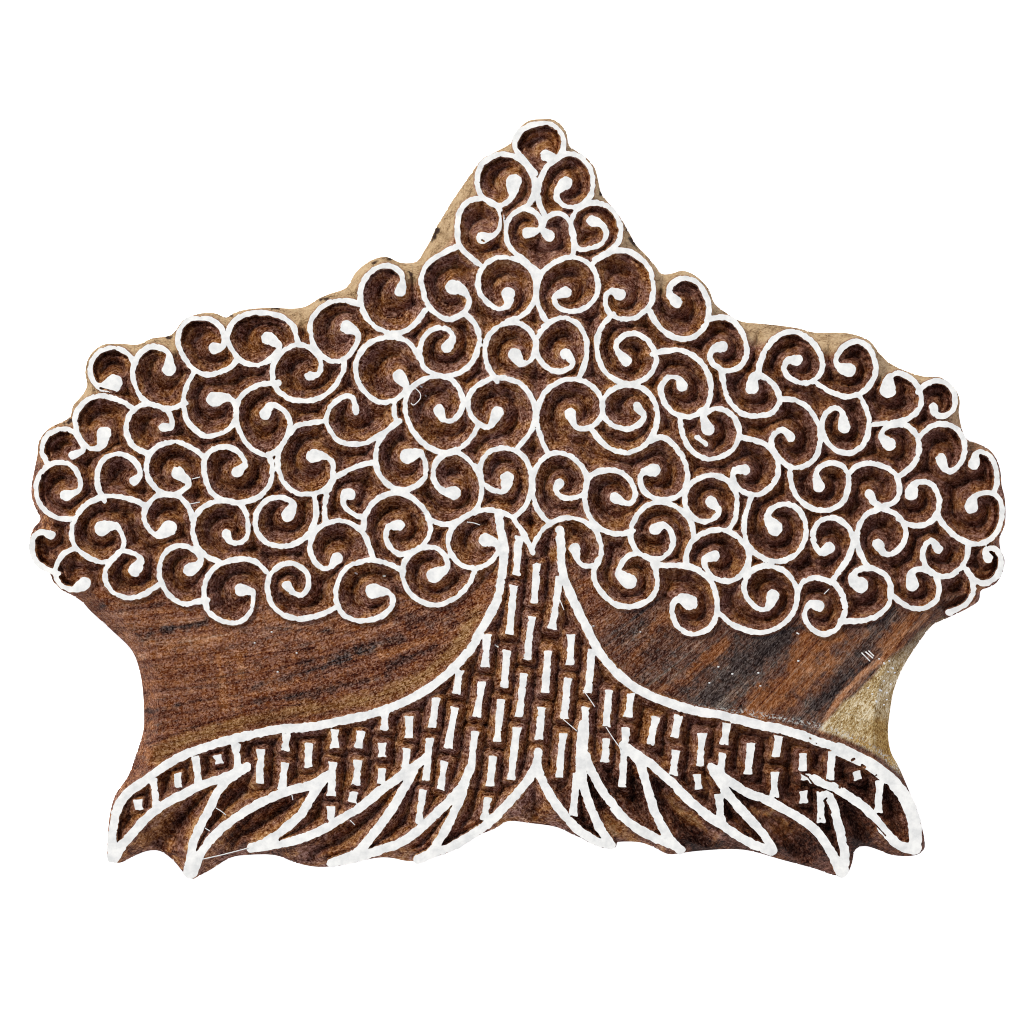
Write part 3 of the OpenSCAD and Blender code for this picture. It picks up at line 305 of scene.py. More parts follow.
LINE, FINE, ROOT = 2.75, 2.66, 4.5     # half widths of scroll lines and root lines
GROUPS = [("crown", CROWN, FINE), ("left_shoulder", LEFT_SHOULDER, FINE), ("left_wing", LEFT_WING, FINE),
          ("left_heart", LEFT_HEART, FINE), ("centre", CENTRE, FINE), ("right_heart", RIGHT_HEART, LINE),
          ("right_shoulder", RIGHT_SHOULDER, LINE), ("right_wing", RIGHT_WING, LINE),
          ("trunk_line", TRUNK, ROOT), ("left_root", ROOTS_L, ROOT), ("right_root", ROOTS_R + RIGHT_BAND, ROOT),
          ("bark_dash", None, 0.0)]


def curve(k, n):
    k = np.array(k, float)
    out = []
    last = len(k) - 1
    for i in range(last):
        a, b, c, d = k[max(i - 1, 0)], k[i], k[i + 1], k[min(i + 2, last)]
        for s in range(n):
            t = s / n
            out.append(0.5 * (2 * b + (c - a) * t + (2 * a - 5 * b + 4 * c - d) * t * t
                              + (3 * b - a - 3 * c + d) * t ** 3))
    out.append(k[-1])
    return np.array(out)


def closed_curve(k, n):
    k = np.array(k, float)
    m = len(k)
    out = []
    for i in range(m):
        a, b, c, d = k[i - 1], k[i], k[(i + 1) % m], k[(i + 2) % m]
        for s in range(n):
            t = s / n
            out.append(0.5 * (2 * b + (c - a) * t + (2 * a - 5 * b + 4 * c - d) * t * t
                              + (3 * b - a - 3 * c + d) * t ** 3))
    return np.array(out)


# ---------------------------------------------------------------- fields on the carving grid
X0, X1, Y0, Y1 = 18.0, 1018.0, 108.0, 892.0
NX = int((X1 - X0) / PITCH) + 1
NY = int((Y1 - Y0) / PITCH) + 1
gx, gy = np.meshgrid(X0 + PITCH * np.arange(NX), Y0 + PITCH * np.arange(NY))


def smooth_noise(x, y, size, seed):
    """Smooth random field, about -1 to 1, with features of about `size` units."""
    u, v = (x + 200.0) / size, (y + 200.0) / size
    iu, iv = np.floor(u).astype(int), np.floor(v).astype(int)
    fu, fv = u - iu, v - iv
    fu, fv = fu * fu * (3 - 2 * fu), fv * fv * (3 - 2 * fv)
    n = int(1500 / size) + 4
    lat = np.random.default_rng(seed).uniform(-1.0, 1.0, (n, n))
    a = lat[iv, iu] * (1 - fu) + lat[iv, iu + 1] * fu
    b = lat[iv + 1, iu] * (1 - fu) + lat[iv + 1, iu + 1] * fu
    return a * (1 - fv) + b * fv


FIELD = 0.0008                                   # depth of the flat waists
FAR = 30.0
S = np.full(gx.shape, FAR)                       # distance to the nearest line's edge
G = np.zeros(gx.shape, np.int8)                  # the group of that line
T = np.zeros(gx.shape)                           # distance along that line


def window(lo, hi, margin):
    i0 = max(int((lo[0] - margin - X0) / PITCH), 0)
    i1 = min(int((hi[0] + margin - X0) / PITCH) + 2, NX)
    j0 = max(int((lo[1] - margin - Y0) / PITCH), 0)
    j1 = min(int((hi[1] + margin - Y0) / PITCH) + 2, NY)
    return slice(j0, j1), slice(i0, i1)


def draw(a, b, wa, wb, k, start):
    w = window(np.minimum(a, b), np.maximum(a, b), max(wa, wb) + FAR)
    x, y = gx[w] - a[0], gy[w] - a[1]
    d = b - a
    t = np.clip((x * d[0] + y * d[1]) / max(d @ d, 1e-9), 0.0, 1.0)
    r = np.hypot(x - t * d[0], y - t * d[1]) - (wa + t * (wb - wa))
    near = r < S[w]
    S[w] = np.where(near, r, S[w])
    G[w] = np.where(near, k, G[w])
    T[w] = np.where(near, start + t * np.hypot(*d), T[w])


def draw_dash(d, k):
    a, b = np.array(d[:2], float), np.array(d[2:], float)
    n = np.hypot(*(b - a))
    u = (b - a) / n
    e = min(9.0, n / 2.6)
    w = window(np.minimum(a, b), np.maximum(a, b), FAR + 7)
    x, y = gx[w] - a[0], gy[w] - a[1]
    s, c = x * u[0] + y * u[1], np.abs(x * -u[1] + y * u[0])
    end = np.clip(1.0 - np.minimum(s, n - s) / e, 0.0, 1.0)
    hw = 3.55 + 1.1 * end ** 1.6
    dx, dy = c - hw, np.maximum(-s, s - n)
    r = np.where((dx > 0) & (dy > 0), np.hypot(dx, dy), np.maximum(dx, dy))
    near = r < S[w]
    S[w] = np.where(near, r, S[w])
    G[w] = np.where(near, k, G[w])
    T[w] = np.where(near, 7.0 * d[0] + s + np.where(dx > dy, 0.0, c), T[w])


for gi, (gname, rows, base_hw) in enumerate(GROUPS):
    if rows is None:
        for d in DASHES:
            draw_dash(d, gi)
        continue
    for row in rows:
        hw = row[3] if len(row) > 3 else base_hw
        r1 = max(row[0] - 1.2, hw)
        r0 = max(row[2] - 1.0, hw) if len(row) > 2 else hw
        q = curve(row[1], 6)
        q[0] = q[0] + (q[0] - q[1]) / max(np.hypot(*(q[0] - q[1])), 1e-6) * (4.5 - hw)
        run = np.concatenate([[0.0], np.cumsum(np.hypot(*np.diff(q, axis=0).T))])
        w = np.maximum(hw + (r1 - hw) * np.maximum(0, 1 - (run[-1] - run) / (2.2 * r1)),
                       hw + (r0 - hw) * np.maximum(0, 1 - run / (3.0 * r0)))
        for i in range(len(q) - 1):
            draw(q[i], q[i + 1], w[i], w[i + 1], gi, 13.0 * row[1][0][0] + run[i])

# signed distance to the sawn outline, positive inside
ring = closed_curve(OUTLINE, 3)
B = np.full(gx.shape, 60.0)
inside = np.zeros(gx.shape, bool)
for a, b in zip(ring, np.roll(ring, -1, axis=0)):
    w = window(np.minimum(a, b), np.maximum(a, b), 60.0)
    x, y = gx[w] - a[0], gy[w] - a[1]
    d = b - a
    t = np.clip((x * d[0] + y * d[1]) / max(d @ d, 1e-9), 0.0, 1.0)
    B[w] = np.minimum(B[w], np.hypot(x - t * d[0], y - t * d[1]))
    rows_hit = (a[1] > gy[:, 0]) != (b[1] > gy[:, 0])
    if rows_hit.any():
        yy = gy[rows_hit, 0]
        xx = a[0] + (yy - a[1]) * (b[0] - a[0]) / (b[1] - a[1])
        inside[rows_hit] ^= gx[rows_hit] < xx[:, None]
B = np.where(inside, B, -B)
B = np.maximum(B, 0.5 - S)                       # the plank stands a hair proud of the lines

# hand-cut edges are a little ragged
S = S + 0.60 * smooth_noise(gx, gy, 2.9, 11) + 0.35 * smooth_noise(gx, gy, 5.0, 13) + 0.40 * smooth_noise(gx, gy, 12.0, 12)
S = S + 2.2 * np.clip(smooth_noise(gx, gy, 2.5, 14) - 0.55, 0.0, 1.0)      # nicks


def along(x, y, path):
    """Distance to a chain of straight pieces."""
    best = np.full(x.shape, 1e9)
    for a, b in zip(path[:-1], path[1:]):
        e0, e1 = b[0] - a[0], b[1] - a[1]
        t = np.clip(((x - a[0]) * e0 + (y - a[1]) * e1) / max(e0 * e0 + e1 * e1, 1e-9), 0.0, 1.0)
        best = np.minimum(best, np.hypot(x - a[0] - t * e0, y - a[1] - t * e1))
    return best


# chips and slits in the tops of the lines: [half width, points along it]
CHIPS = [
    [0.9, [(794, 769), (800, 772), (808, 777)]], [0.8, [(808, 777), (814, 785), (820, 792)]],
    [1.1, [(821, 775), (826, 780)]], [0.8, [(825, 780), (832, 782)]], [0.8, [(827, 790), (834, 793)]],
    [1.4, [(835, 795), (841, 799)]], [1.0, [(824, 801), (827, 798)]], [0.8, [(828, 805), (831, 813)]],
    [1.5, [(852, 760), (854, 759)]], [1.3, [(862, 765), (865, 767)]], [0.8, [(876, 775), (877, 775)]],
    [0.9, [(839, 787), (840, 788)]], [0.8, [(820, 818), (820, 819)]], [0.8, [(868, 818), (876, 825), (886, 836)]],
    [1.0, [(502, 212), (503, 226), (500, 241)]], [1.0, [(100, 388), (108, 390), (115, 392)]],
    [0.9, [(467, 643), (466, 648)]], [1.0, [(482, 240), (484, 241)]], [0.9, [(716, 738), (718, 740)]],
    [0.9, [(810, 738), (811, 739)]], [0.8, [(816, 743), (817, 744)]],
]
for cut_hw, cut_path in CHIPS:
    S = np.maximum(S, cut_hw - along(gx, gy, cut_path) + 0.25 * smooth_noise(gx, gy, 2.6, 15))


# how far the ground is from the sawn edge, going round the lines
out = np.where((B < 1.6) & (S > 0.0), 0.0, 99.0)
for _ in range(int(34 / PITCH)):
    p = np.pad(out, 1, constant_values=99.0)
    step = np.minimum.reduce([p[:-2, 1:-1], p[2:, 1:-1], p[1:-1, :-2], p[1:-1, 2:]]) + PITCH
    diag = np.minimum.reduce([p[:-2, :-2], p[2:, 2:], p[:-2, 2:], p[2:, :-2]]) + 1.414 * PITCH
    out = np.where(S > 0.0, np.minimum(out, np.minimum(step, diag)), 99.0)


# the two flat waists: ground well away from the lines, reached from a seed
W = np.zeros(gx.shape, bool)
for sx_, sy_ in ((250.0, 665.0), (760.0, 665.0)):
    W[int((sy_ - Y0) / PITCH), int((sx_ - X0) / PITCH)] = True
brow = np.interp(gx, [85, 120, 165, 185, 203, 215, 232, 248, 258, 268, 285, 305, 325, 335, 350, 365, 385, 398, 435, 460, 478, 490, 530,
                      575, 600, 620, 650, 668, 680, 695, 712, 722, 740, 760, 785, 800, 810, 822, 835, 845, 870, 885, 895, 920, 945],
                 [592, 602, 600, 607, 606, 618, 627, 618, 605, 608, 618, 623, 618, 612, 620, 624, 617, 603, 608, 605, 595, 580, 575,
                  575, 600, 610, 603, 605, 625, 637, 632, 625, 632, 636, 630, 622, 634, 638, 632, 622, 623, 615, 603, 610, 600])
free = (S > 5.0) & (B > 0.0) & (gy > brow - 4.0) & (gy < 775.0)
for reach, room in ((900, free), (int(8.5 / PITCH), (S > 0.0) & (B > -2.0) & (gy > brow - 7.0))):
    for _ in range(reach):
        p = np.pad(W, 1)
        grown = (W | p[:-2, 1:-1] | p[2:, 1:-1] | p[1:-1, :-2] | p[1:-1, 2:]) & room
        if (grown == W).all():
            break
        W = grown
W = W.astype(float)
for _ in range(3):
    p = np.pad(W, 1, mode="edge")
    W = (p[:-2, 1:-1] + p[2:, 1:-1] + p[1:-1, :-2] + p[1:-1, 2:] + 2.0 * W) / 6.0


def sample(f, x, y):
    u = np.clip((x - X0) / PITCH, 0, NX - 1.001)
    v = np.clip((y - Y0) / PITCH, 0, NY - 1.001)
    i, j = u.astype(int), v.astype(int)
    a, b = u - i, v - j
    return (f[j, i] * (1 - a) * (1 - b) + f[j, i + 1] * a * (1 - b)
            + f[j + 1, i] * (1 - a) * b + f[j + 1, i + 1] * a * b)


def snap(f, x, y, on):
    fy, fx = np.gradient(f, PITCH)
    n2 = np.maximum(fx ** 2 + fy ** 2, 0.25)
    for _ in range(2):
        v = sample(f, x, y)
        sx, sy = sample(fx, x, y), sample(fy, x, y)
        m2 = np.maximum(sx ** 2 + sy ** 2, 0.25)
        x = np.where(on, x - np.clip(v * sx / m2, -0.6 * PITCH, 0.6 * PITCH), x)
        y = np.where(on, y - np.clip(v * sy / m2, -0.6 * PITCH, 0.6 * PITCH), y)
    return x, y


on_land = np.abs(S) < 0.55 * PITCH
on_rim = (np.abs(B) < 0.55 * PITCH) & ~on_land
vx, vy = snap(S, gx.copy(), gy.copy(), on_land)
vx, vy = snap(B, vx, vy, on_rim)
keep = (B > 0) | on_rim | on_land
cls = np.where(on_land, 0, np.where(S < 0, -1, 1))

# bottoms of the gouged grooves, where the two sides meet
soft = np.minimum(S, 14.0)
for _ in range(2):
    p = np.pad(soft, 1, mode="edge")
    soft = (p[:-2, 1:-1] + p[2:, 1:-1] + p[1:-1, :-2] + p[1:-1, 2:] + 2.0 * soft) / 6.0
fall = np.hypot(*np.gradient(soft, PITCH))
valley = np.clip(1.0 - fall / 0.9, 0.0, 1.0) * np.clip((S - 2.5) / 3.0, 0.0, 1.0) * np.clip((15.0 - S) / 4.0, 0.0, 1.0)
for _ in range(3):
    p = np.pad(valley, 1, mode="edge")
    valley = (p[:-2, 1:-1] + p[2:, 1:-1] + p[1:-1, :-2] + p[1:-1, 2:] + 2.0 * valley) / 6.0

# how deep down its groove each spot is: 0 beside a line, 1 at the bottom
sy_, sx_ = np.gradient(soft, PITCH)
qx, qy, top_s = gx.copy(), gy.copy(), np.maximum(S, 0.0)
for _ in range(16):
    ux_, uy_ = sample(sx_, qx, qy), sample(sy_, qx, qy)
    un = np.maximum(np.hypot(ux_, uy_), 0.12)
    qx, qy = qx + ux_ / un, qy + uy_ / un
    top_s = np.maximum(top_s, sample(S, qx, qy))
for _ in range(4):
    p = np.pad(top_s, 1, mode="edge")
    top_s = (p[:-2, 1:-1] + p[2:, 1:-1] + p[1:-1, :-2] + p[1:-1, 2:] + 2.0 * top_s) / 6.0
top_s = np.clip(top_s, 2.5, 16.0)
deep = np.clip(S / top_s, 0.0, 1.3)

# ---------------------------------------------------------------- carved heights
d = np.maximum(sample(S, vx, vy), 0.0)
d[on_land] = 0.0
rim = np.maximum(sample(B, vx, vy), 0.0)
rim[on_rim] = 0.0
flat = sample(W, vx, vy)
half = sample(top_s, vx, vy)
r_ = d / half
sink = 0.00018 * (1.0 - np.exp(-d / 0.5)) + U * half * (0.85 * r_ + 1.55 * r_ * r_)
sink = 1.2 * DEPTH * np.tanh(sink / DEPTH / 1.2)
sink = sink * (1.0 - flat) + flat * FIELD * (1.0 - np.exp(-d / 1.6))
calm = np.maximum(np.clip((d - 14.0) / 8.0, 0.0, 1.0), flat)
cut = 0.00020 * smooth_noise(vx, vy, 7.0, 21) + 0.00016 * smooth_noise(vx, vy, 3.6, 22)
cut = cut * (1.0 - 0.8 * calm) + calm * 0.00005 * smooth_noise(vx, vy, 14.0, 23)
z = LAND - sink + cut * (1.0 - np.exp(-d / 2.5))
shoulder = LAND - 0.0056 + rim * 0.00030 + 0.00016 * smooth_noise(vx, vy, 9.0, 24)
z = np.where(d > 0.0, np.minimum(z, shoulder), LAND)
z = np.where(on_rim, np.minimum(z, LAND - 0.0048), z)

# ---------------------------------------------------------------- triangles
idx = np.arange(NX * NY).reshape(NY, NX)
v00, v10 = idx[:-1, :-1].ravel(), idx[:-1, 1:].ravel()
v01, v11 = idx[1:, :-1].ravel(), idx[1:, 1:].ravel()
c = cls.ravel()
score_a = np.abs(c[v00] - c[v11])                # a diagonal that crosses an edge is bad
score_b = np.abs(c[v10] - c[v01])
par = ((np.arange(NY - 1)[:, None] + np.arange(NX - 1)[None, :]) % 2).ravel() * 0.5
use_a = (score_a + par * 0.5 <= score_b + 0.125)
tri_a = np.stack([np.stack([v00, v01, v11], 1), np.stack([v00, v11, v10], 1)], 1)
tri_b = np.stack([np.stack([v00, v01, v10], 1), np.stack([v10, v01, v11], 1)], 1)
tris = np.where(use_a[:, None, None], tri_a, tri_b).reshape(-1, 3)
fx_, fy_, fz_ = vx.ravel(), vy.ravel(), z.ravel()
tris = tris[keep.ravel()[tris].all(1)]
cx, cy = fx_[tris].mean(1), fy_[tris].mean(1)
tris = tris[sample(B, cx, cy) > -0.1]
ax, ay = fx_[tris], fy_[tris]
area2 = np.abs((ax[:, 1] - ax[:, 0]) * (ay[:, 2] - ay[:, 0]) - (ax[:, 2] - ax[:, 0]) * (ay[:, 1] - ay[:, 0]))
tris = tris[area2 > 1e-4]
cx, cy = fx_[tris].mean(1), fy_[tris].mean(1)
is_land = (c[tris] <= 0).all(1) & (sample(S, cx, cy) < 0.0)


def border(tri):
    """Directed edges that only one triangle uses."""
    e = np.concatenate([tri[:, [0, 1]], tri[:, [1, 2]], tri[:, [2, 0]]])
    n = NX * NY
    fwd = e[:, 0].astype(np.int64) * n + e[:, 1]
    back = e[:, 1].astype(np.int64) * n + e[:, 0]
    return e[~np.isin(fwd, back)]


def build(name, verts, faces, smooth):
    me = bpy.data.meshes.new(name)
    me.from_pydata([], [], [])
    loops = np.concatenate([np.asarray(f).ravel() for f in faces])
    sizes = np.concatenate([np.full(len(f), len(f[0])) for f in faces])
    me.vertices.add(len(verts))
    me.vertices.foreach_set("co", np.asarray(verts, np.float32).ravel())
    me.loops.add(len(loops))
    me.loops.foreach_set("vertex_index", loops.astype(np.int32))
    me.polygons.add(len(sizes))
    me.polygons.foreach_set("loop_start", np.concatenate([[0], np.cumsum(sizes)[:-1]]).astype(np.int32))
    me.polygons.foreach_set("use_smooth", smooth)
    me.update(calc_edges=True)
    me.validate()
    ob = bpy.data.objects.new(name, me)
    scene.collection.objects.link(ob)
    return ob


def floats(ob, name, values):
    a = ob.data.attributes.new(name, "FLOAT", "POINT")
    a.data.foreach_set("value", np.asarray(values, np.float32))


def vectors(ob, name, values):
    a = ob.data.attributes.new(name, "FLOAT_VECTOR", "POINT")
    a.data.foreach_set("vector", np.asarray(values, np.float32).ravel())


# the grain of the plank: nearly level on the left, climbing to the right
gxs = np.arange(0.0, 1101.0)
tilt = np.radians(np.interp(gxs, [0, 140, 440, 600, 760, 900, 1100], [4, 5, 22, 34, 46, 51, 54]))
climb = np.concatenate([[0.0], np.cumsum(np.tan(tilt))[:-1]])


def grain_of(x, y):
    return y + np.interp(x, gxs, climb)


# ---------------------------------------------------------------- carved block
used = np.unique(tris)
remap = np.full(NX * NY, -1)
remap[used] = np.arange(len(used))
bx, by, bz = fx_[used], fy_[used], fz_[used]
top_faces = remap[tris]
edge = remap[border(tris)]
rim_ids = np.unique(edge)
n_top = len(used)
LEVELS = [0.0183, 0.0155, 0.010, 0.004, 0.0005, 0.0]
side_pos = {int(v): i for i, v in enumerate(rim_ids)}
m = len(rim_ids)
sx, sy = [], []
verts = [np.stack([(bx - MX) * U, (MY - by) * U, bz], 1)]
after, before = np.arange(m), np.arange(m)
for a, b in edge:
    after[side_pos[int(a)]], before[side_pos[int(b)]] = side_pos[int(b)], side_pos[int(a)]
rim_x, rim_y = bx[rim_ids], by[rim_ids]
for _ in range(3):                               # evens out the steps of the grid along the saw cut
    rim_x = 0.5 * rim_x + 0.25 * (rim_x[after] + rim_x[before])
    rim_y = 0.5 * rim_y + 0.25 * (rim_y[after] + rim_y[before])
wob = 0.5 * smooth_noise(rim_x, rim_y, 9.0, 31)
gyB, gxB = np.gradient(B, PITCH)
inx, iny = sample(gxB, rim_x, rim_y), sample(gyB, rim_x, rim_y)
nrm = np.maximum(np.hypot(inx, iny), 0.3)
inx, iny = inx / nrm, iny / nrm
for li, lz in enumerate(LEVELS):
    push = [0.2, 0.3, 0.4, 0.4, 0.2, 0.0][li] + [0.7, 1.0, 1.0, 1.0, 0.5, 0.0][li] * 0.2 * (wob + smooth_noise(rim_x + 37 * li, rim_y, 12.0, 32))
    px_, py_ = rim_x + inx * push, rim_y + iny * push
    lift = 0.0009 * smooth_noise(px_, py_, 11.0, 33) if li == 0 else 0.0
    verts.append(np.stack([(px_ - MX) * U, (MY - py_) * U, np.full(m, lz) + lift], 1))
quads = []
for a, b in edge:
    ia, ib = side_pos[int(a)], side_pos[int(b)]
    la, lb = int(a), int(b)
    for li in range(len(LEVELS)):
        na, nb = n_top + li * m + ia, n_top + li * m + ib
        quads.append((la, na, nb, lb))
        la, lb = na, nb
base = n_top + (len(LEVELS) - 1) * m
low_xy = [Vector((float(x), float(y))) for x, y in zip(rim_x, rim_y)]
low_edges = [(side_pos[int(a)], side_pos[int(b)]) for a, b in edge]
cdt_v, _, cdt_f, cdt_from, _, _ = delaunay_2d_cdt(low_xy, low_edges, [], 1, 1e-5)
low_id, extra = [], []
for p, src in zip(cdt_v, cdt_from):
    if src:
        low_id.append(base + src[0])
    else:
        low_id.append(n_top + len(LEVELS) * m + len(extra))
        extra.append([(p[0] - MX) * U, (MY - p[1]) * U, 0.0])
low_f = []
for f in cdt_f:
    q = [cdt_v[i] for i in f]
    turn = (q[1][0] - q[0][0]) * (q[2][1] - q[0][1]) - (q[2][0] - q[0][0]) * (q[1][1] - q[0][1])
    ids = [low_id[i] for i in f]
    low_f.append(ids if turn > 0.0 else ids[::-1])
if extra:
    verts.append(np.array(extra))
faces = [top_faces, np.array(quads), np.array(low_f)]
smooth = np.concatenate([~is_land, np.full(len(quads), True), np.full(len(low_f), False)])
block = build("carved_block", np.concatenate(verts), faces, smooth)
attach(block, "root")
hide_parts("block_body", *[g[0] + "_relief" for g in GROUPS])
print("block", len(block.data.vertices), len(block.data.polygons), "bottom", len(low_f), len(extra))

n_all = len(block.data.vertices)
co = np.empty(n_all * 3, np.float32)
block.data.vertices.foreach_get("co", co)
co = co.reshape(-1, 3)
ux, uy = co[:, 0] / U + MX, MY - co[:, 1] / U
dd = np.zeros(n_all)
dd[:n_top] = d.ravel()[used]
rr = np.zeros(n_all)
rr[:n_top] = rim.ravel()[used]
g = grain_of(ux, uy)
vectors(block, "grain", np.stack([g * 0.15, ux * 0.15, co[:, 2] * 1000.0], 1))
floats(block, "away", dd)                        # distance from the lines
floats(block, "rim", rr)                         # distance from the sawn edge
floats(block, "low", np.clip((LAND - co[:, 2]) / DEPTH, 0.0, 8.0))
ff = np.zeros(n_all)
ff[:n_top] = flat.ravel()[used] * np.clip((dd[:n_top] - 0.3) / 1.8, 0.0, 1.0)
ff[n_top:] = np.clip((uy[n_top:] - 560.0) / 30.0, 0.0, 1.0)
va = np.zeros(n_all)
va[:n_top] = valley.ravel()[used] * (1.0 - ff[:n_top])
floats(block, "valley", va)
de = np.zeros(n_all)
de[:n_top] = deep.ravel()[used] * (1.0 - ff[:n_top])
floats(block, "deep", de)                        # 0 beside a line to 1 at the bottom of a groove
floats(block, "flat", ff)                        # the flat waists
tt = np.zeros(n_all)
tt[:n_top] = T.ravel()[used]
vectors(block, "cutting", np.stack([tt, dd, 0.0 * dd], 1))
oo = np.zeros(n_all)
oo[:n_top] = out.ravel()[used]
# only the upper part of the block gets the pale shoulder and pale sides, which is partly painted light
high = np.clip((470.0 - uy) / 80.0, 0.0, 1.0)
bevel = np.clip((24.0 - oo) / 9.0, 0.0, 1.0) * high
bevel[:n_top] *= np.clip(dd[:n_top] / 1.5, 0.0, 1.0)
floats(block, "bevel", bevel)                    # pale shaved shoulder above the waist, partly painted light: the shoulders lower down are left dark
sap_y = np.interp(ux, [800, 812, 840, 868, 886, 905, 930, 945], [900, 738, 704, 678, 661, 643, 624, 612])
sap = np.clip((uy - sap_y + 3.0 * smooth_noise(ux, uy, 16.0, 41)) / 5.0, 0.0, 1.0) * (ux > 800.0)
above = np.clip((np.interp(ux, [800, 812, 836, 862, 884, 900, 930], [724, 726, 733, 744, 757, 774, 820]) - uy) / 4.0 + 1.0, 0.0, 1.0)
sap *= np.clip((780.0 - uy) / 15.0, 0.0, 1.0) * (0.35 + 0.65 * np.clip((uy - 645.0) / 25.0, 0.0, 1.0)) * above
sap[:n_top] *= np.clip((dd[:n_top] - 2.0) / 3.0, 0.0, 1.0)
floats(block, "sap", sap)                        # strip of pale sapwood
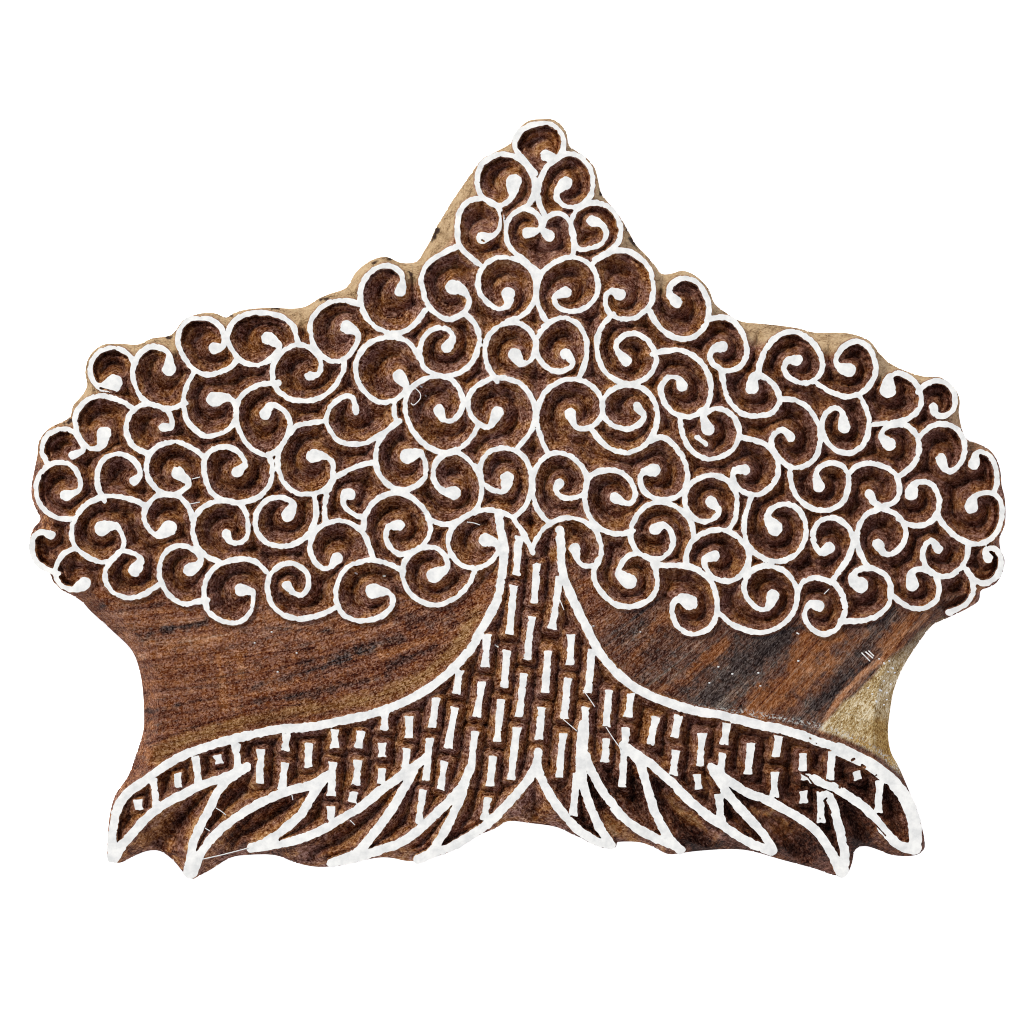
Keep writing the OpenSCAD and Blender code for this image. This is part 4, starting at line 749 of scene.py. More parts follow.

# marks of the wood in the two waists, then strokes of painted shadow and painted highlight in the root cells:
# [darker or lighter, orange, blue black, half width, softness, points along it]
MARKS = [
    [-0.45, 0.0, 0.75, 3.0, 3.0, [(140, 636), (165, 630), (190, 625), (206, 621)]],
    [-0.45, 0.0, 0.5, 2.5, 2.5, [(118, 612), (140, 608), (162, 604)]],
    [-1.4, 0.0, 0.0, 0.6, 0.8, [(220, 660), (250, 656), (280, 652), (314, 648)]],
    [0.5, 1.0, 0.0, 2.6, 1.6, [(218, 655), (222, 678), (224, 708)]],
    [0.4, 0.8, 0.0, 2.0, 1.8, [(239, 656), (242, 678)]],
    [-0.35, 0.0, 0.6, 3.5, 4.0, [(248, 688), (272, 682), (300, 674), (320, 666), (346, 660)]],
    [-0.35, 0.0, 0.6, 3.5, 4.0, [(358, 648), (380, 643), (402, 637)]],
    [-0.4, 0.0, 0.55, 2.6, 3.5, [(256, 702), (284, 698), (320, 692), (370, 680), (386, 676)]],
    [-1.4, 0.0, 0.0, 0.7, 0.9, [(140, 746), (165, 738), (188, 730), (216, 720), (248, 711), (272, 706), (300, 705)]],
    [-0.5, 0.0, 0.5, 2.8, 3.0, [(390, 665), (410, 657), (434, 648)]],
    [0.4, 0.9, 0.0, 2.8, 2.0, [(380, 655), (404, 648), (424, 640), (446, 629)]],
    [0.4, 0.7, 0.0, 5.0, 4.0, [(146, 762), (166, 747), (190, 736), (230, 725), (280, 714), (330, 706), (370, 698), (396, 690), (424, 675), (446, 659), (462, 640), (474, 616), (481, 598)]],
    [-0.35, 0.0, 0.5, 2.4, 3.5, [(300, 664), (330, 658), (352, 652), (372, 650)]],
    [-0.5, 0.0, 0.4, 2.0, 3.0, [(100, 606), (128, 605), (146, 602)]],
    [-0.5, 0.0, 0.5, 2.0, 2.5, [(150, 712), (176, 706), (200, 700)]],
    [-0.6, 0.0, 0.4, 1.6, 2.0, [(240, 630), (270, 628), (300, 630), (350, 632)]],
    [-0.3, 0.0, 0.4, 4.0, 6.0, [(400, 618), (430, 622), (452, 618)]],
    [0.3, 0.8, 0.0, 2.6, 2.5, [(160, 649), (182, 644), (204, 640), (222, 636)]],
    [-0.5, 0.0, 0.2, 1.6, 1.6, [(146, 712), (180, 704), (216, 698)]],
    [-0.8, 0.0, 0.0, 1.0, 1.0, [(384, 671), (386, 680)]],
    [-0.1, 0.0, 0.12, 30.0, 14.0, [(625, 640), (660, 665), (690, 690)]],
    [0.1, 0.7, 0.0, 6.0, 7.0, [(630, 660), (645, 640), (660, 618)]],
    [0.0, 0.6, 0.0, 3.0, 5.0, [(612, 652), (622, 645)]],
    [-0.1, 0.6, 0.0, 5.0, 6.0, [(655, 694), (672, 684), (690, 680)]],
    [-0.2, 0.0, 0.25, 4.0, 5.0, [(612, 632), (628, 628), (640, 622)]],
    [0.1, 0.0, 0.62, 24.0, 10.0, [(716, 694), (744, 670), (772, 642)]],
    [-0.35, 0.0, 0.9, 8.0, 6.0, [(706, 696), (732, 676), (760, 656), (786, 634)]],
    [-0.1, 0.0, 0.5, 4.0, 5.0, [(690, 702), (720, 706), (742, 706)]],
    [-0.5, 0.0, 0.9, 4.0, 4.0, [(764, 652), (784, 642), (800, 628)]],
    [0.15, 0.9, 0.0, 5.0, 4.0, [(690, 672), (706, 660), (724, 644)]],
    [0.1, 0.8, 0.0, 3.0, 3.0, [(706, 666), (714, 662)]],
    [0.2, 1.0, 0.0, 13.0, 8.0, [(756, 712), (776, 698), (790, 682), (800, 662), (812, 645)]],
    [0.4, 1.0, 0.0, 5.0, 4.0, [(790, 678), (800, 660), (822, 643), (838, 636)]],
    [0.45, 0.8, 0.0, 6.0, 5.0, [(800, 690), (814, 676), (828, 662)]],
    [0.3, 1.0, 0.0, 5.0, 5.0, [(752, 712), (772, 704), (792, 700)]],
    [-0.4, 0.2, 0.3, 2.0, 3.0, [(776, 712), (790, 694), (804, 680)]],
    [0.0, 0.0, 0.66, 9.0, 6.0, [(802, 720), (824, 696), (850, 664), (874, 640), (894, 618)]],
    [-0.4, 0.0, 0.8, 3.5, 4.0, [(818, 708), (840, 683), (860, 664)]],
    [0.1, 0.6, 0.0, 3.0, 4.0, [(816, 690), (832, 668), (848, 650), (866, 634)]],
    [0.05, 0.8, 0.0, 8.0, 5.0, [(886, 646), (906, 628), (924, 613)]],
    [-0.9, 0.0, 0.5, 0.9, 1.0, [(818, 724), (836, 697), (860, 670), (882, 652)]],
    [1.0, 1.0, 0.0, 2.8, 1.8, [(823, 731), (832, 708), (846, 691), (862, 674), (878, 663), (892, 650), (908, 636), (926, 618)]],
    [-0.7, 0.4, 0.0, 1.4, 1.4, [(884, 658), (900, 644), (916, 630)]],
    [0.5, 0.0, 0.0, 7.0, 5.0, [(862, 712), (876, 696), (886, 682)]],
    [-0.7, 0.4, 0.0, 0.8, 1.6, [(868, 733), (876, 742), (884, 752)]],
    [0.5, 0.0, 0.0, 3.0, 3.0, [(880, 736), (886, 744)]],
    [-0.8, 0.3, 0.0, 1.0, 1.5, [(858, 714), (848, 722)]],
    [-0.8, 0.3, 0.0, 1.0, 1.5, [(872, 704), (880, 714), (878, 722)]],
    [0.9, 0.0, 0.0, 0.8, 1.0, [(878, 662), (884, 660)]], [0.9, 0.0, 0.0, 0.8, 1.0, [(889, 668), (893, 673)]],
    [0.9, 0.0, 0.0, 0.8, 1.0, [(884, 688), (880, 692)]], [0.9, 0.0, 0.0, 0.8, 1.0, [(874, 702), (878, 708)]],
    [0.9, 0.0, 0.0, 0.7, 1.0, [(866, 690), (862, 694)]], [0.9, 0.0, 0.0, 0.7, 1.0, [(888, 704), (887, 712)]],
    # root cells: the darker strokes are painted shadow beside the root lines, the lighter orange ones painted
    # highlight on the lit slopes
    [-0.8, 0.0, 0.0, 4.0, 4.0, [(208, 792), (192, 808), (180, 824), (168, 838), (158, 848)]],
    [0.7, 0.6, 0.0, 1.6, 1.4, [(211, 797), (200, 814), (191, 832), (185, 852)]],
    [0.3, 0.5, 0.0, 5.0, 5.0, [(176, 806), (160, 822), (144, 842)]],
    [-0.8, 0.0, 0.0, 4.0, 3.0, [(240, 783), (226, 798), (213, 815), (207, 825)]],
    [0.4, 0.6, 0.0, 3.5, 3.0, [(258, 787), (242, 800), (226, 814)]],
    [-0.9, 0.0, 0.0, 2.6, 2.6, [(302, 794), (280, 801), (260, 811), (244, 823), (228, 840)]],
    [-0.6, 0.0, 0.0, 2.4, 3.0, [(284, 810), (262, 823), (246, 836)]],
    [0.3, 0.6, 0.0, 3.0, 3.0, [(300, 802), (286, 822), (264, 835), (250, 842)]],
    [-0.8, 0.0, 0.0, 2.6, 2.6, [(250, 852), (270, 855), (292, 850)]],
    [-0.7, 0.0, 0.0, 2.6, 3.0, [(276, 853), (300, 843), (330, 833), (350, 826)]],
    [-0.9, 0.0, 0.0, 4.0, 3.0, [(326, 783), (312, 800), (300, 820)]],
    [-0.7, 0.0, 0.0, 3.5, 3.0, [(588, 778), (598, 800), (606, 820)]],
    [0.9, 0.9, 0.0, 3.5, 3.0, [(604, 814), (613, 832), (634, 843), (662, 849)]],
    [-0.7, 0.0, 0.0, 4.0, 4.0, [(628, 762), (632, 788), (640, 804)]],
    [0.5, 0.6, 0.0, 2.5, 3.0, [(646, 790), (652, 814), (656, 828)]],
    [-0.7, 0.0, 0.0, 2.5, 3.0, [(651, 774), (658, 788)]],
    [0.8, 0.8, 0.0, 3.5, 3.0, [(664, 793), (680, 809), (700, 827), (716, 839)]],
    [-0.7, 0.0, 0.0, 4.0, 4.0, [(672, 814), (684, 834), (700, 847), (718, 848)]],
    [0.5, 0.5, 0.0, 2.5, 3.0, [(668, 822), (676, 842)]],
    [-0.6, 0.0, 0.0, 2.5, 3.0, [(684, 775), (694, 787)]],
    [0.9, 0.7, 0.0, 4.0, 4.0, [(706, 776), (708, 800), (712, 814)]],
    [-0.8, 0.0, 0.0, 3.0, 3.0, [(724, 802), (730, 816)]],
    [0.6, 0.5, 0.0, 3.0, 3.0, [(738, 824), (752, 834)]],
    [-0.8, 0.0, 0.0, 2.5, 3.0, [(730, 790), (744, 800)]],
    [1.0, 0.9, 0.0, 2.6, 2.6, [(742, 805), (756, 812), (768, 814)]],
    [0.7, 0.6, 0.0, 3.0, 3.5, [(772, 806), (784, 822), (794, 836)]],
    [-0.6, 0.0, 0.0, 4.0, 4.0, [(748, 820), (764, 838), (778, 850)]],
    [-0.5, 0.0, 0.0, 4.0, 4.0, [(796, 822), (810, 842), (824, 856)]],
    [-0.5, 0.0, 0.0, 9.0, 5.0, [(856, 802), (860, 830), (864, 848)]],
]


# painted shade of small gouges on the shaved shoulder, which are not cut into the surface: [half width, points along
# it]
GOUGES = [
    [2.4, [(437, 229), (434, 236)]], [1.0, [(432, 239), (431, 241)]], [1.6, [(385, 257), (390, 258)]],
    [1.0, [(412, 256), (413, 260)]], [1.8, [(409, 272), (411, 275)]], [1.2, [(599, 187), (600, 191)]],
    [1.5, [(601, 193), (604, 194)]], [1.0, [(625, 225), (628, 232)]], [2.0, [(630, 238), (635, 245)]],
    [1.8, [(226, 315), (231, 315)]], [1.4, [(272, 308), (278, 308)]], [1.6, [(320, 299), (327, 298)]],
    [1.4, [(166, 337), (171, 337)]], [1.6, [(64, 424), (70, 420)]], [0.8, [(378, 260), (373, 263)]],
]
gouge_shade = np.zeros(n_all)
for gouge_hw, gouge_path in GOUGES:
    gouge_shade = np.maximum(gouge_shade, np.clip((gouge_hw + 0.4 - along(ux, uy, gouge_path)
                                     + 1.5 * smooth_noise(ux, uy, 2.6, 61)) / 1.2, 0.0, 1.0))
gouge_shade[:n_top] *= dd[:n_top] > 0.0
gouge_shade[n_top:] = 0.0
floats(block, "gouge_shade", gouge_shade)

side = np.clip((ux - 590.0) / 60.0, 0.0, 1.0)
shade = 0.0 * side
warm = np.zeros(n_all)
cold = 0.45 * side
wander = smooth_noise(ux, uy, 7.0, 51) + 0.7 * smooth_noise(ux, uy, 3.0, 52) + 0.9 * smooth_noise(ux, uy, 17.0, 53)
for s_, w_, c_, hw, soft, path in MARKS:
    p = np.clip((hw + soft - along(ux, uy, path) + 0.8 * soft * wander) / (2.0 * soft), 0.0, 1.0)
    p = p * p * (3.0 - 2.0 * p)
    shade = shade * (1.0 - p * min(abs(s_), 1.0)) + s_ * p
    warm = warm * (1.0 - p * max(w_, c_)) + w_ * p
    cold = cold * (1.0 - p * max(w_, c_)) + c_ * p


def soft_spot(px, py, rx, ry):
    return np.exp(-((ux - px) / rx) ** 2 - ((uy - py) / ry) ** 2)


# the waists: painted light under the left scrolls, soft painted lighter and darker spots elsewhere
waist_painted_light = 0.40 * np.clip((ux - 110.0) / 15.0, 0.0, 1.0) * np.clip((405.0 - ux) / 25.0, 0.0, 1.0) * np.clip((664.0 - uy) / 14.0, 0.0, 1.0)
for sx, sy, rx, ry, amount in ((340, 673, 50, 11, -0.40), (428, 656, 30, 18, -0.50), (632, 638, 26, 16, 0.40), (720, 665, 28, 18, 0.28),
                               (718, 697, 30, 11, 0.34), (810, 710, 15, 14, 0.42), (850, 660, 22, 16, 0.30), (668, 680, 32, 12, 0.26),
                               (168, 731, 24, 10, 0.25)):
    waist_painted_light = waist_painted_light + amount * soft_spot(sx, sy, rx, ry)
shade = shade + waist_painted_light * ff * (1.0 - sap)
# the right roots: painted shade in the hollows and painted highlight on the ridges
root_light_and_shade = np.zeros(n_all)
for sx, sy, rx, ry, amount in ((595, 790, 9, 15, -1.1), (615, 778, 10, 10, -1.1), (639, 790, 9, 18, -0.9), (659, 795, 8, 15, -1.2),
                               (697, 840, 17, 11, -1.0), (617, 828, 15, 10, 0.40), (680, 808, 10, 15, 0.30), (647, 823, 9, 8, 0.25),
                               (736, 795, 11, 9, -1.2), (725, 809, 6, 9, -0.8), (744, 804, 9, 9, -1.0), (801, 848, 17, 13, -0.9),
                               (767, 821, 19, 12, 0.1), (848, 812, 10, 17, -1.1), (858, 840, 9, 11, -0.8), (874, 846, 11, 9, 0.25),
                               (891, 797, 11, 11, -1.1), (847, 777, 9, 7, -0.8), (868, 788, 7, 10, -1.0), (828, 822, 7, 13, -0.9)):
    root_light_and_shade = root_light_and_shade + amount * soft_spot(sx, sy, rx, ry)
root_light_and_shade = root_light_and_shade + (0.26 * smooth_noise(ux, uy, 15.0, 81) - 0.05) * np.clip((uy - 765.0) / 25.0, 0.0, 1.0) * np.clip((ux - 545.0) / 40.0, 0.0, 1.0)
root_light_and_shade = root_light_and_shade * (1.0 - ff)
shade = shade + root_light_and_shade
# shade: the wood's own marks in the waists, plus painted light and shade in the waists and root cells
floats(block, "shade", shade)
# the orange tint follows the painted highlight in the right roots
floats(block, "warm", np.clip(warm + 0.5 * np.clip(root_light_and_shade, 0.0, 1.0), 0.0, 1.0))
floats(block, "cold", cold)
# painted light and shade across the block, for the ground's tone
painted_falloff = np.interp(ux, [30, 250, 420, 500, 560, 680, 780, 1010], [-0.034, -0.030, -0.008, 0.008, 0.002, -0.018, -0.044, -0.048])
painted_falloff = painted_falloff - 0.075 * np.clip((uy - 745.0) / 45.0, 0.0, 1.0) * np.clip((ux - 520.0) / 60.0, 0.0, 1.0)
painted_falloff = painted_falloff + 0.012 * np.clip((300.0 - uy) / 40.0, 0.0, 1.0)
width = S.copy()
for _ in range(6):
    width[1:-1, 1:-1] = np.maximum.reduce([width[1:-1, 1:-1], width[:-2, 1:-1], width[2:, 1:-1], width[1:-1, :-2], width[1:-1, 2:]])
narrow = np.zeros(n_all)
narrow[:n_top] = np.clip((9.5 - width) / 4.5, 0.0, 1.0).ravel()[used]
right_roots = np.clip((uy - 755.0) / 30.0, 0.0, 1.0) * np.clip((ux - 540.0) / 50.0, 0.0, 1.0)
# painted shade: darker in the narrow cells of the right roots
painted_falloff = painted_falloff + right_roots * (0.024 - 0.085 * narrow)
ashen = right_roots * np.clip(0.35 - root_light_and_shade, 0.0, 1.0) + 0.2 * np.clip((ux - 700.0) / 120.0, 0.0, 1.0) * (1.0 - right_roots)
floats(block, "ashen", ashen)                    # cooler ground towards the right; in the right roots cooler in the painted shade, less so under the painted highlight
floats(block, "painted_falloff", painted_falloff)                      # painted light and shade: darker towards both wings and the right roots, darkest in their narrow cells, a little lighter towards the crown
coarse = np.interp(ux, [30, 200, 420, 520, 640, 760, 1010], [0.205, 0.235, 0.285, 0.285, 0.240, 0.180, 0.170])
coarse = coarse * np.where(uy > 770.0, 0.90, 1.0) * np.where(uy < 280.0, 0.76, 1.0) * (1.0 - 0.16 * ff)
floats(block, "coarse", coarse)                  # how strongly the fine grain shows
ochre = np.zeros(n_all)
for o_hw, o_soft, o_path in (
        [6.0, 4.5, [(160, 754), (190, 737), (230, 726), (280, 715), (330, 707), (370, 699), (396, 690), (424, 675), (446, 658), (462, 638), (474, 616)]],
        [10.0, 3.0, [(880, 730), (884, 742), (890, 756)]], [3.0, 4.0, [(850, 738), (866, 744)]]):
    ochre = np.maximum(ochre, np.clip((o_hw + o_soft - along(ux, uy, o_path) + 0.55 * o_soft * wander) / (2.0 * o_soft), 0.0, 1.0))
ochre[:n_top] *= np.clip(dd[:n_top] / 1.5, 0.0, 1.0)
floats(block, "ochre", 0.8 * ochre * np.where(ux > 800.0, 1.2 * above, 1.0))
chalk = np.clip((4.5 - along(ux, uy, [(626, 680), (646, 692), (676, 704), (706, 709), (740, 712), (770, 717), (806, 723), (836, 731), (862, 742), (884, 755), (900, 772)])) / 4.0, 0.0, 1.0)
chalk[:n_top] *= dd[:n_top] > 0.0
chalk[n_top:] = 0.0
wall = np.zeros(n_all)
wall[n_top:] = 1.0
wall[n_top:n_top + m] = 0.5
floats(block, "wall", wall)                      # sawn sides and back
pale_and_lit_sides = np.clip(0.85 * np.maximum(high, sap) + 0.15 * smooth_noise(ux, uy, 30.0, 71), 0.0, 0.9)
floats(block, "pale_and_lit_sides", pale_and_lit_sides * wall)                 # sides paler towards the top of the block (partly painted light; the lower sides keep the darker ramp) and along the sapwood
floats(block, "chalk", chalk)

# ---------------------------------------------------------------- white coat
land = tris[is_land]
lg = G.ravel()[land]
grp = np.where(lg[:, 0] == lg[:, 1], lg[:, 0], np.where(lg[:, 1] == lg[:, 2], lg[:, 1], lg[:, 2]))
coats = []
for gi, (gname, rows, base_hw) in enumerate(GROUPS):
    part = land[grp == gi]
    ids = np.unique(part)
    mp = np.full(NX * NY, -1)
    mp[ids] = np.arange(len(ids))
    t = mp[part]
    e = mp[border(part)]
    k = len(ids)
    x, y = fx_[ids], fy_[ids]
    xy = np.stack([(x - MX) * U, (MY - y) * U], 1)
    up = np.concatenate([xy, np.full((k, 1), TOP)], 1)
    dn = np.concatenate([xy, np.full((k, 1), LAND)], 1)
    walls = np.stack([e[:, 0], e[:, 0] + k, e[:, 1] + k, e[:, 1]], 1)
    ob = build(gname + "_film", np.concatenate([up, dn]), [t, t[:, ::-1] + k, walls],
               np.zeros(len(t) * 2 + len(walls), bool))
    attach(ob, "root")
    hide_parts(gname + "_coat")
    dist = np.concatenate([S.ravel()[ids], S.ravel()[ids]])
    floats(ob, "edge", np.minimum(dist, 0.0))
    coats.append(ob)
print("coat", sum(len(o.data.polygons) for o in coats))


# ---------------------------------------------------------------- loose bits
# crumbs of the white coat lying on the wood: [half width, points along it]
CRUMBS = [
    [0.6, [(862, 653), (870, 661)]], [0.7, [(866, 652), (873, 658)]], [0.6, [(869, 651), (874, 656)]],
    [0.8, [(709, 683), (710, 683)]], [0.8, [(718, 667), (719, 667)]], [0.9, [(732, 674), (733, 674)]],
    [0.9, [(758, 673), (759, 673)]], [0.9, [(798, 661), (799, 661)]], [0.7, [(797, 633), (799, 634)]],
    [0.7, [(760, 686), (761, 686)]], [0.8, [(277, 672), (278, 672)]], [0.7, [(296, 653), (297, 653)]],
    [0.7, [(271, 632), (272, 632)]], [0.7, [(254, 643), (255, 643)]], [0.8, [(355, 573), (357, 574)]],
    [0.8, [(383, 576), (385, 576)]], [0.7, [(495, 645), (498, 647)]], [0.7, [(420, 386), (422, 387)]],
    [0.7, [(425, 395), (426, 396)]], [0.8, [(593, 626), (594, 626)]], [0.6, [(640, 632), (641, 632)]],
    [0.7, [(879, 659), (880, 659)]], [0.8, [(884, 663), (885, 664)]], [0.8, [(889, 661), (890, 661)]],
    [0.9, [(893, 668), (894, 669)]], [0.7, [(888, 672), (889, 672)]], [0.8, [(895, 673), (896, 673)]],
    [0.7, [(884, 681), (885, 681)]], [0.8, [(891, 684), (892, 685)]], [0.9, [(880, 690), (882, 691)]],
    [0.8, [(887, 693), (888, 693)]], [0.8, [(876, 701), (877, 702)]], [0.7, [(884, 705), (885, 705)]],
    [0.7, [(872, 694), (873, 694)]], [0.7, [(868, 688), (869, 688)]], [0.7, [(887, 700), (888, 700)]],
]
lump_v, lump_f = [], []
for crumb_hw, crumb_path in CRUMBS:
    p0, p1 = np.array(crumb_path[0], float), np.array(crumb_path[-1], float)
    u = (p1 - p0) / np.hypot(*(p1 - p0))
    n = np.array([-u[1], u[0]])
    rim_pts = [p0 - u * crumb_hw, p0 - n * crumb_hw, p1 - n * crumb_hw, p1 + u * crumb_hw, p1 + n * crumb_hw, p0 + n * crumb_hw]
    mid = 0.5 * (p0 + p1)
    k = len(lump_v)
    for q in rim_pts:
        zq = float(sample(z, np.array([q[0]]), np.array([q[1]]))[0])
        lump_v.append(at(q[0], q[1], zq + 0.00004))
    zm = float(sample(z, np.array([mid[0]]), np.array([mid[1]]))[0])
    lump_v.append(at(mid[0], mid[1], zm + 0.00014))
    lump_v.append(at(mid[0], mid[1], zm - 0.00010))
    for i in range(6):
        j = (i + 1) % 6
        lump_f.append((k + j, k + i, k + 6))
        lump_f.append((k + i, k + j, k + 7))
crumbs = build("coat_crumbs", np.array([tuple(v) for v in lump_v]), [np.array(lump_f)], np.zeros(len(lump_f), bool))
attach(crumbs, "root")
coats.append(crumbs)

# bristles caught in the coat
BRISTLES = [
    [(414, 387), (420, 393), (420, 399), (414, 405), (411, 403)], [(467, 522), (474, 523), (480, 525)],
    [(192, 479), (196, 478), (200, 477)], [(190, 504), (195, 503), (200, 502)], [(216, 808), (221, 811), (226, 815)],
    [(205, 828), (210, 831)], [(203, 859), (225, 854), (248, 848)], [(583, 690), (589, 698), (595, 707)],
    [(563, 719), (570, 725), (577, 731)], [(606, 727), (613, 738), (621, 749)], [(560, 600), (564, 610)],
    [(292, 795), (293, 800)], [(350, 820), (355, 825)], [(824, 594), (829, 589)],
]
hair_v, hair_f = [], []
for path in BRISTLES:
    q = curve(path, 4)
    k = len(hair_v)
    for i in range(len(q)):
        u = q[min(i + 1, len(q) - 1)] - q[max(i - 1, 0)]
        u = u / np.hypot(*u)
        for s in range(5):
            c_, s_ = math.cos(1.2566 * s), math.sin(1.2566 * s)
            p = q[i] + np.array([-u[1], u[0]]) * 0.55 * c_
            hair_v.append(at(p[0], p[1], TOP + 0.00012 + 0.55 * U * s_))
    for i in range(len(q) - 1):
        for s in range(5):
            a0, a1 = k + 5 * i + s, k + 5 * i + (s + 1) % 5
            hair_f.append((a0, a0 + 5, a1 + 5))
            hair_f.append((a0, a1 + 5, a1))
    e = k + 5 * (len(q) - 1)
    for s in range(1, 4):
        hair_f.append((k, k + s, k + s + 1))
        hair_f.append((e, e + s + 1, e + s))
bristles = build("caught_bristles", np.array([tuple(v) for v in hair_v]), [np.array(hair_f)], np.ones(len(hair_f), bool))
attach(bristles, "root")
coats.append(bristles)


# ---------------------------------------------------------------- materials
def wood_material():
    m = bpy.data.materials.new("carved_rosewood")
    m.use_nodes = True
    nt = m.node_tree
    b = nt.nodes["Principled BSDF"]
    link = nt.links.new

    def node(kind, **kw):
        n = nt.nodes.new(kind)
        for key_, val in kw.items():
            setattr(n, key_, val)
        return n

    def attr(name, out="Fac"):
        n = node("ShaderNodeAttribute", attribute_name=name)
        return n.outputs[out]

    def ramp(src, stops):
        n = node("ShaderNodeValToRGB")
        el = n.color_ramp.elements
        while len(el) < len(stops):
            el.new(0.5)
        for i, (p, col) in enumerate(stops):
            el[i].position = p
            el[i].color = (*col, 1.0)
        link(src, n.inputs["Fac"])
        return n.outputs["Color"]

    def noise(vec, scale, detail=4.0, rough=0.6, distort=0.0):
        n = node("ShaderNodeTexNoise")
        n.inputs["Scale"].default_value = scale
        n.inputs["Detail"].default_value = detail
        n.inputs["Roughness"].default_value = rough
        n.inputs["Distortion"].default_value = distort
        link(vec, n.inputs["Vector"])
        return n.outputs["Fac"]

    def mapped(vec, scale):
        n = node("ShaderNodeVectorMath", operation="MULTIPLY")
        link(vec, n.inputs[0])
        n.inputs[1].default_value = scale
        return n.outputs["Vector"]

    def rng(src, a, b_, c_=0.0, d_=1.0):
        n = node("ShaderNodeMapRange")
        n.inputs["From Min"].default_value = a
        n.inputs["From Max"].default_value = b_
        n.inputs["To Min"].default_value = c_
        n.inputs["To Max"].default_value = d_
        link(src, n.inputs["Value"])
        return n.outputs["Result"]

    def mix(fac, a, b_, mode="MIX"):
        n = node("ShaderNodeMix", data_type="RGBA", blend_type=mode, clamp_result=mode != "MIX")
        ins = [i for i in n.inputs if i.type == "RGBA"]
        if isinstance(fac, float):
            n.inputs[0].default_value = fac
        else:
            link(fac, n.inputs[0])
        for sock, val in ((ins[0], a), (ins[1], b_)):
            if isinstance(val, tuple):
                sock.default_value = (*val, 1.0)
            else:
                link(val, sock)
        return [o for o in n.outputs if o.type == "RGBA"][0]

    def total(*terms):
        acc = None
        for src, weight in terms:
            n = node("ShaderNodeMath", operation="MULTIPLY")
            link(src, n.inputs[0])
            n.inputs[1].default_value = weight
            if acc is not None:
                s_ = node("ShaderNodeMath", operation="ADD")
                link(acc, s_.inputs[0])
                link(n.outputs[0], s_.inputs[1])
                acc = s_.outputs[0]
            else:
                acc = n.outputs[0]
        return acc

    def plus(src, amount):
        n = node("ShaderNodeMath", operation="ADD")
        link(src, n.inputs[0])
        n.inputs[1].default_value = amount
        return n.outputs[0]

    def gamma(src, power):
        n = node("ShaderNodeGamma")
        link(src, n.inputs["Color"])
        n.inputs["Gamma"].default_value = power
        return n.outputs["Color"]

    obj = node("ShaderNodeTexCoord").outputs["Object"]

    def grains(vec, scale):
        n = node("ShaderNodeTexVoronoi")
        n.inputs["Scale"].default_value = scale
        link(vec, n.inputs["Vector"])
        s_ = node("ShaderNodeSeparateColor")
        link(n.outputs["Color"], s_.inputs[0])
        return s_.outputs[0]

    grain = attr("grain", "Vector")
    cutting = attr("cutting", "Vector")
    away = attr("away")
    shade = attr("shade")
    # gouged ground: crumbly, dark umber to orange brown, with cuts across the lines
    grit = grains(obj, 3700.0)
    crumb = noise(obj, 3300.0, 2.0, 0.7)
    cuts = noise(mapped(cutting, (0.34, 0.05, 1.0)), 1.0, 2.0, 0.6)
    patch = noise(obj, 480.0, 2.0, 0.6)
    clod = noise(obj, 1250.0, 2.0, 0.6)
    # painted shade: the ground darkens towards the bottom of each groove, broken up by noise
    groove_shade = total((attr("deep"), 1.0), (rng(clod, 0.3, 0.7), 0.34), (rng(cuts, 0.3, 0.7), 0.22))
    # painted light: the ground is a little lighter close beside the lines, and it also takes the painted light and
    # shade across the block
    tone = plus(total((rng(clod, 0.3, 0.7), 0.18), (rng(cuts, 0.3, 0.7), 0.17), (rng(patch, 0.3, 0.7), 0.12),
                      (rng(groove_shade, 0.70, 1.02), -0.04), (rng(away, 0.2, 1.6), -0.04), (shade, 0.15), (attr("painted_falloff"), 1.0)), 0.265)
    ground_m = ramp(tone, [(0.20, (0.031, 0.009, 0.005)), (0.36, (0.117, 0.043, 0.026)), (0.49, (0.272, 0.126, 0.092)),
                           (0.61, (0.44, 0.265, 0.202)), (0.78, (0.68, 0.52, 0.43))])
    ground_o = ramp(tone, [(0.20, (0.034, 0.009, 0.003)), (0.36, (0.152, 0.050, 0.016)), (0.49, (0.368, 0.162, 0.059)),
                           (0.61, (0.53, 0.308, 0.145)), (0.78, (0.72, 0.54, 0.36))])
    ground = mix(total((rng(noise(obj, 330.0, 2.0, 0.6), 0.40, 0.62), 1.0), (attr("warm"), 0.8), (attr("ashen"), -0.8)), ground_m, ground_o)
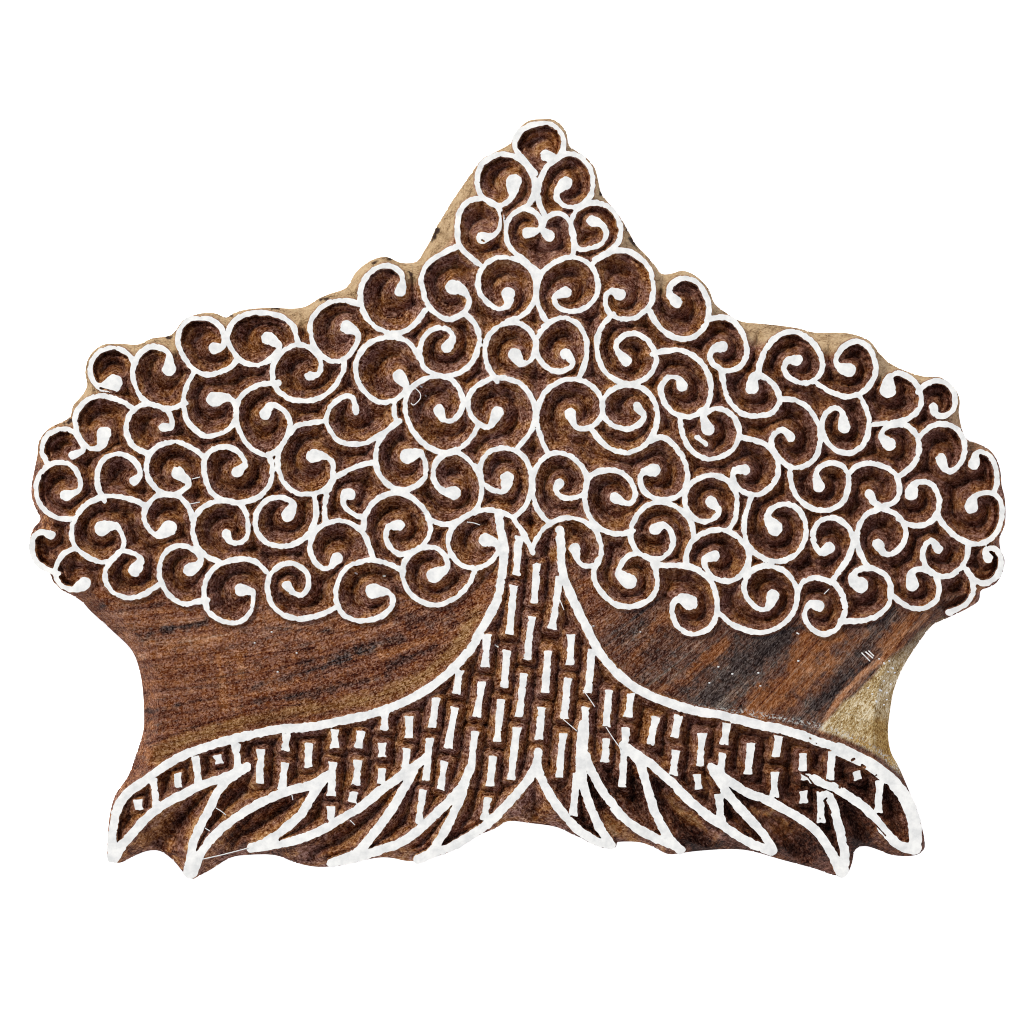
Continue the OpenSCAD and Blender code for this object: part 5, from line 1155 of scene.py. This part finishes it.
    # flat fields: long broken streaks along the grain
    streak = noise(mapped(grain, (0.95, 0.035, 0.2)), 1.0, 3.0, 0.6)
    lines_ = noise(mapped(grain, (0.55, 0.022, 0.1)), 1.0, 2.0, 0.55)
    ridge = node("ShaderNodeMath", operation="SUBTRACT")
    link(lines_, ridge.inputs[0])
    ridge.inputs[1].default_value = 0.5
    gap = node("ShaderNodeMath", operation="ABSOLUTE")
    link(ridge.outputs[0], gap.inputs[0])
    crack = rng(gap.outputs[0], 0.0, 0.016)
    fine = noise(mapped(grain, (3.4, 0.40, 1.0)), 1.0, 2.0, 0.7)
    dust = grains(mapped(grain, (5.6, 4.4, 5.0)), 1.0)
    broad = noise(obj, 260.0, 2.0, 0.6)
    ftone = plus(total((rng(streak, 0.3, 0.7), 0.22), (rng(fine, 0.3, 0.7), 0.14), (rng(broad, 0.32, 0.68), 0.08),
                       (shade, 0.16), (rng(crack, 1.0, 0.0), -0.13)), 0.28)
    red = ramp(ftone, [(0.30, (0.055, 0.014, 0.007)), (0.42, (0.125, 0.044, 0.025)), (0.50, (0.166, 0.064, 0.040)),
                       (0.58, (0.225, 0.096, 0.059)), (0.70, (0.38, 0.19, 0.12))])
    orange = ramp(ftone, [(0.30, (0.070, 0.014, 0.004)), (0.42, (0.150, 0.046, 0.018)), (0.50, (0.222, 0.076, 0.025)),
                          (0.58, (0.285, 0.108, 0.038)), (0.70, (0.43, 0.20, 0.10))])
    black = ramp(ftone, [(0.30, (0.013, 0.008, 0.008)), (0.42, (0.034, 0.023, 0.021)), (0.50, (0.056, 0.040, 0.036)),
                         (0.58, (0.088, 0.065, 0.056)), (0.70, (0.25, 0.19, 0.15))])
    hue = total((attr("warm"), 1.0), (rng(noise(obj, 2100.0, 2.0, 0.6), 0.44, 0.60), 0.50), (rng(noise(obj, 760.0, 2.0, 0.6), 0.46, 0.60), 0.40), (rng(noise(mapped(grain, (0.8, 0.05, 0.1)), 1.0, 2.0, 0.6), 0.45, 0.65), 0.40))
    chill = total((attr("cold"), 1.0), (rng(noise(mapped(grain, (1.3, 0.07, 0.2)), 1.0, 3.0, 0.65), 0.54, 0.70), 0.45), (rng(noise(obj, 1700.0, 2.0, 0.6), 0.52, 0.66), 0.24), (rng(noise(obj, 620.0, 2.0, 0.6), 0.52, 0.66), 0.20))
    field = mix(chill, mix(hue, red, orange), black)
    base = mix(attr("flat"), ground, field)
    gritty = ramp(ftone, [(0.32, (0.055, 0.019, 0.005)), (0.50, (0.175, 0.077, 0.026)), (0.68, (0.44, 0.26, 0.11))])
    base = mix(attr("ochre"), base, gritty)
    speck = mix(attr("flat"), total((grit, 0.70), (rng(crumb, 0.3, 0.7), 0.30)), total((dust, 0.75), (rng(crumb, 0.3, 0.7), 0.25)))
    base = gamma(mix(attr("coarse"), gamma(base, 0.4545), speck, "LINEAR_LIGHT"), 2.2)
    pale = ramp(total((rng(crumb, 0.3, 0.7), 0.30), (rng(patch, 0.3, 0.7), 0.25), (dust, 0.45), (shade, 0.22)),
                [(0.16, (0.12, 0.058, 0.014)), (0.36, (0.34, 0.215, 0.080)), (0.52, (0.48, 0.345, 0.165)), (0.80, (0.80, 0.69, 0.50))])
    honey = ramp(total((rng(crumb, 0.3, 0.7), 0.30), (rng(patch, 0.3, 0.7), 0.25), (dust, 0.45), (shade, 0.22)),
                 [(0.16, (0.11, 0.042, 0.005)), (0.40, (0.31, 0.158, 0.028)), (0.80, (0.60, 0.41, 0.15))])
    base = mix(attr("sap"), base, mix(attr("ochre"), pale, honey))
    shaved = ramp(total((crumb, 0.35), (patch, 0.50), (grit, 0.15)), [(0.34, (0.13, 0.072, 0.032)), (0.45, (0.36, 0.235, 0.125)),
                                                                     (0.60, (0.52, 0.375, 0.225))])
    base = mix(attr("bevel"), base, shaved)
    # painted shade of the gouges on the shoulder
    base = mix(attr("gouge_shade"), base, (0.026, 0.009, 0.004))
    dusted = node("ShaderNodeMath", operation="MULTIPLY")
    link(attr("chalk"), dusted.inputs[0])
    link(rng(noise(obj, 2300.0, 3.0, 0.7), 0.50, 0.62), dusted.inputs[1])
    base = mix(dusted.outputs[0], base, (0.60, 0.60, 0.58))
    layers = noise(mapped(grain, (0.22, 0.016, 1.15)), 1.0, 3.0, 0.6)
    fibre = noise(mapped(grain, (1.6, 0.12, 4.2)), 1.0, 2.0, 0.7)
    sawn = total((rng(layers, 0.3, 0.7), 0.50), (rng(fibre, 0.3, 0.7), 0.28), (rng(crumb, 0.3, 0.7), 0.12), (rng(patch, 0.3, 0.7), 0.10))
    # sides: darker ramp below, paler ramp towards the top of the block, partly painted light
    sides = mix(attr("pale_and_lit_sides"), ramp(sawn, [(0.28, (0.060, 0.025, 0.013)), (0.48, (0.140, 0.064, 0.034)), (0.70, (0.27, 0.145, 0.080))]),
                ramp(sawn, [(0.28, (0.22, 0.125, 0.060)), (0.48, (0.37, 0.245, 0.130)), (0.70, (0.52, 0.375, 0.225))]))
    base = mix(attr("wall"), base, sides)
    link(base, b.inputs["Base Color"])
    b.inputs["Roughness"].default_value = 0.75
    b.inputs["Specular IOR Level"].default_value = 0.08
    bump = node("ShaderNodeBump")
    bump.inputs["Strength"].default_value = 0.8
    bump.inputs["Distance"].default_value = 0.0003
    link(total((crumb, 0.7), (cuts, 0.5)), bump.inputs["Height"])
    link(bump.outputs["Normal"], b.inputs["Normal"])
    return m


def coat_material():
    m = bpy.data.materials.new("matt_white_coat")
    m.use_nodes = True
    nt = m.node_tree
    b = nt.nodes["Principled BSDF"]
    link = nt.links.new
    obj = nt.nodes.new("ShaderNodeTexCoord").outputs["Object"]

    def noise(scale, detail, rough):
        n = nt.nodes.new("ShaderNodeTexNoise")
        n.inputs["Scale"].default_value = scale
        n.inputs["Detail"].default_value = detail
        n.inputs["Roughness"].default_value = rough
        link(obj, n.inputs["Vector"])
        return n.outputs["Fac"]

    def ramp(src, stops):
        n = nt.nodes.new("ShaderNodeValToRGB")
        el = n.color_ramp.elements
        while len(el) < len(stops):
            el.new(0.5)
        for i, (p, col) in enumerate(stops):
            el[i].position = p
            el[i].color = (*col, 1.0)
        link(src, n.inputs["Fac"])
        return n.outputs["Color"]

    cloud = ramp(noise(700.0, 3.0, 0.6), [(0.32, (0.75, 0.755, 0.75)), (0.50, (0.870, 0.868, 0.855)), (0.66, (0.965, 0.96, 0.935))])
    link(cloud, b.inputs["Base Color"])
    b.inputs["Roughness"].default_value = 0.65
    b.inputs["Specular IOR Level"].default_value = 0.3
    bump = nt.nodes.new("ShaderNodeBump")
    bump.inputs["Strength"].default_value = 0.35
    bump.inputs["Distance"].default_value = 0.0001
    link(noise(2200.0, 3.0, 0.7), bump.inputs["Height"])
    link(bump.outputs["Normal"], b.inputs["Normal"])
    return m


wood = wood_material()
block.data.materials.append(wood)
white = coat_material()
for ob in coats:
    ob.data.materials.append(white)
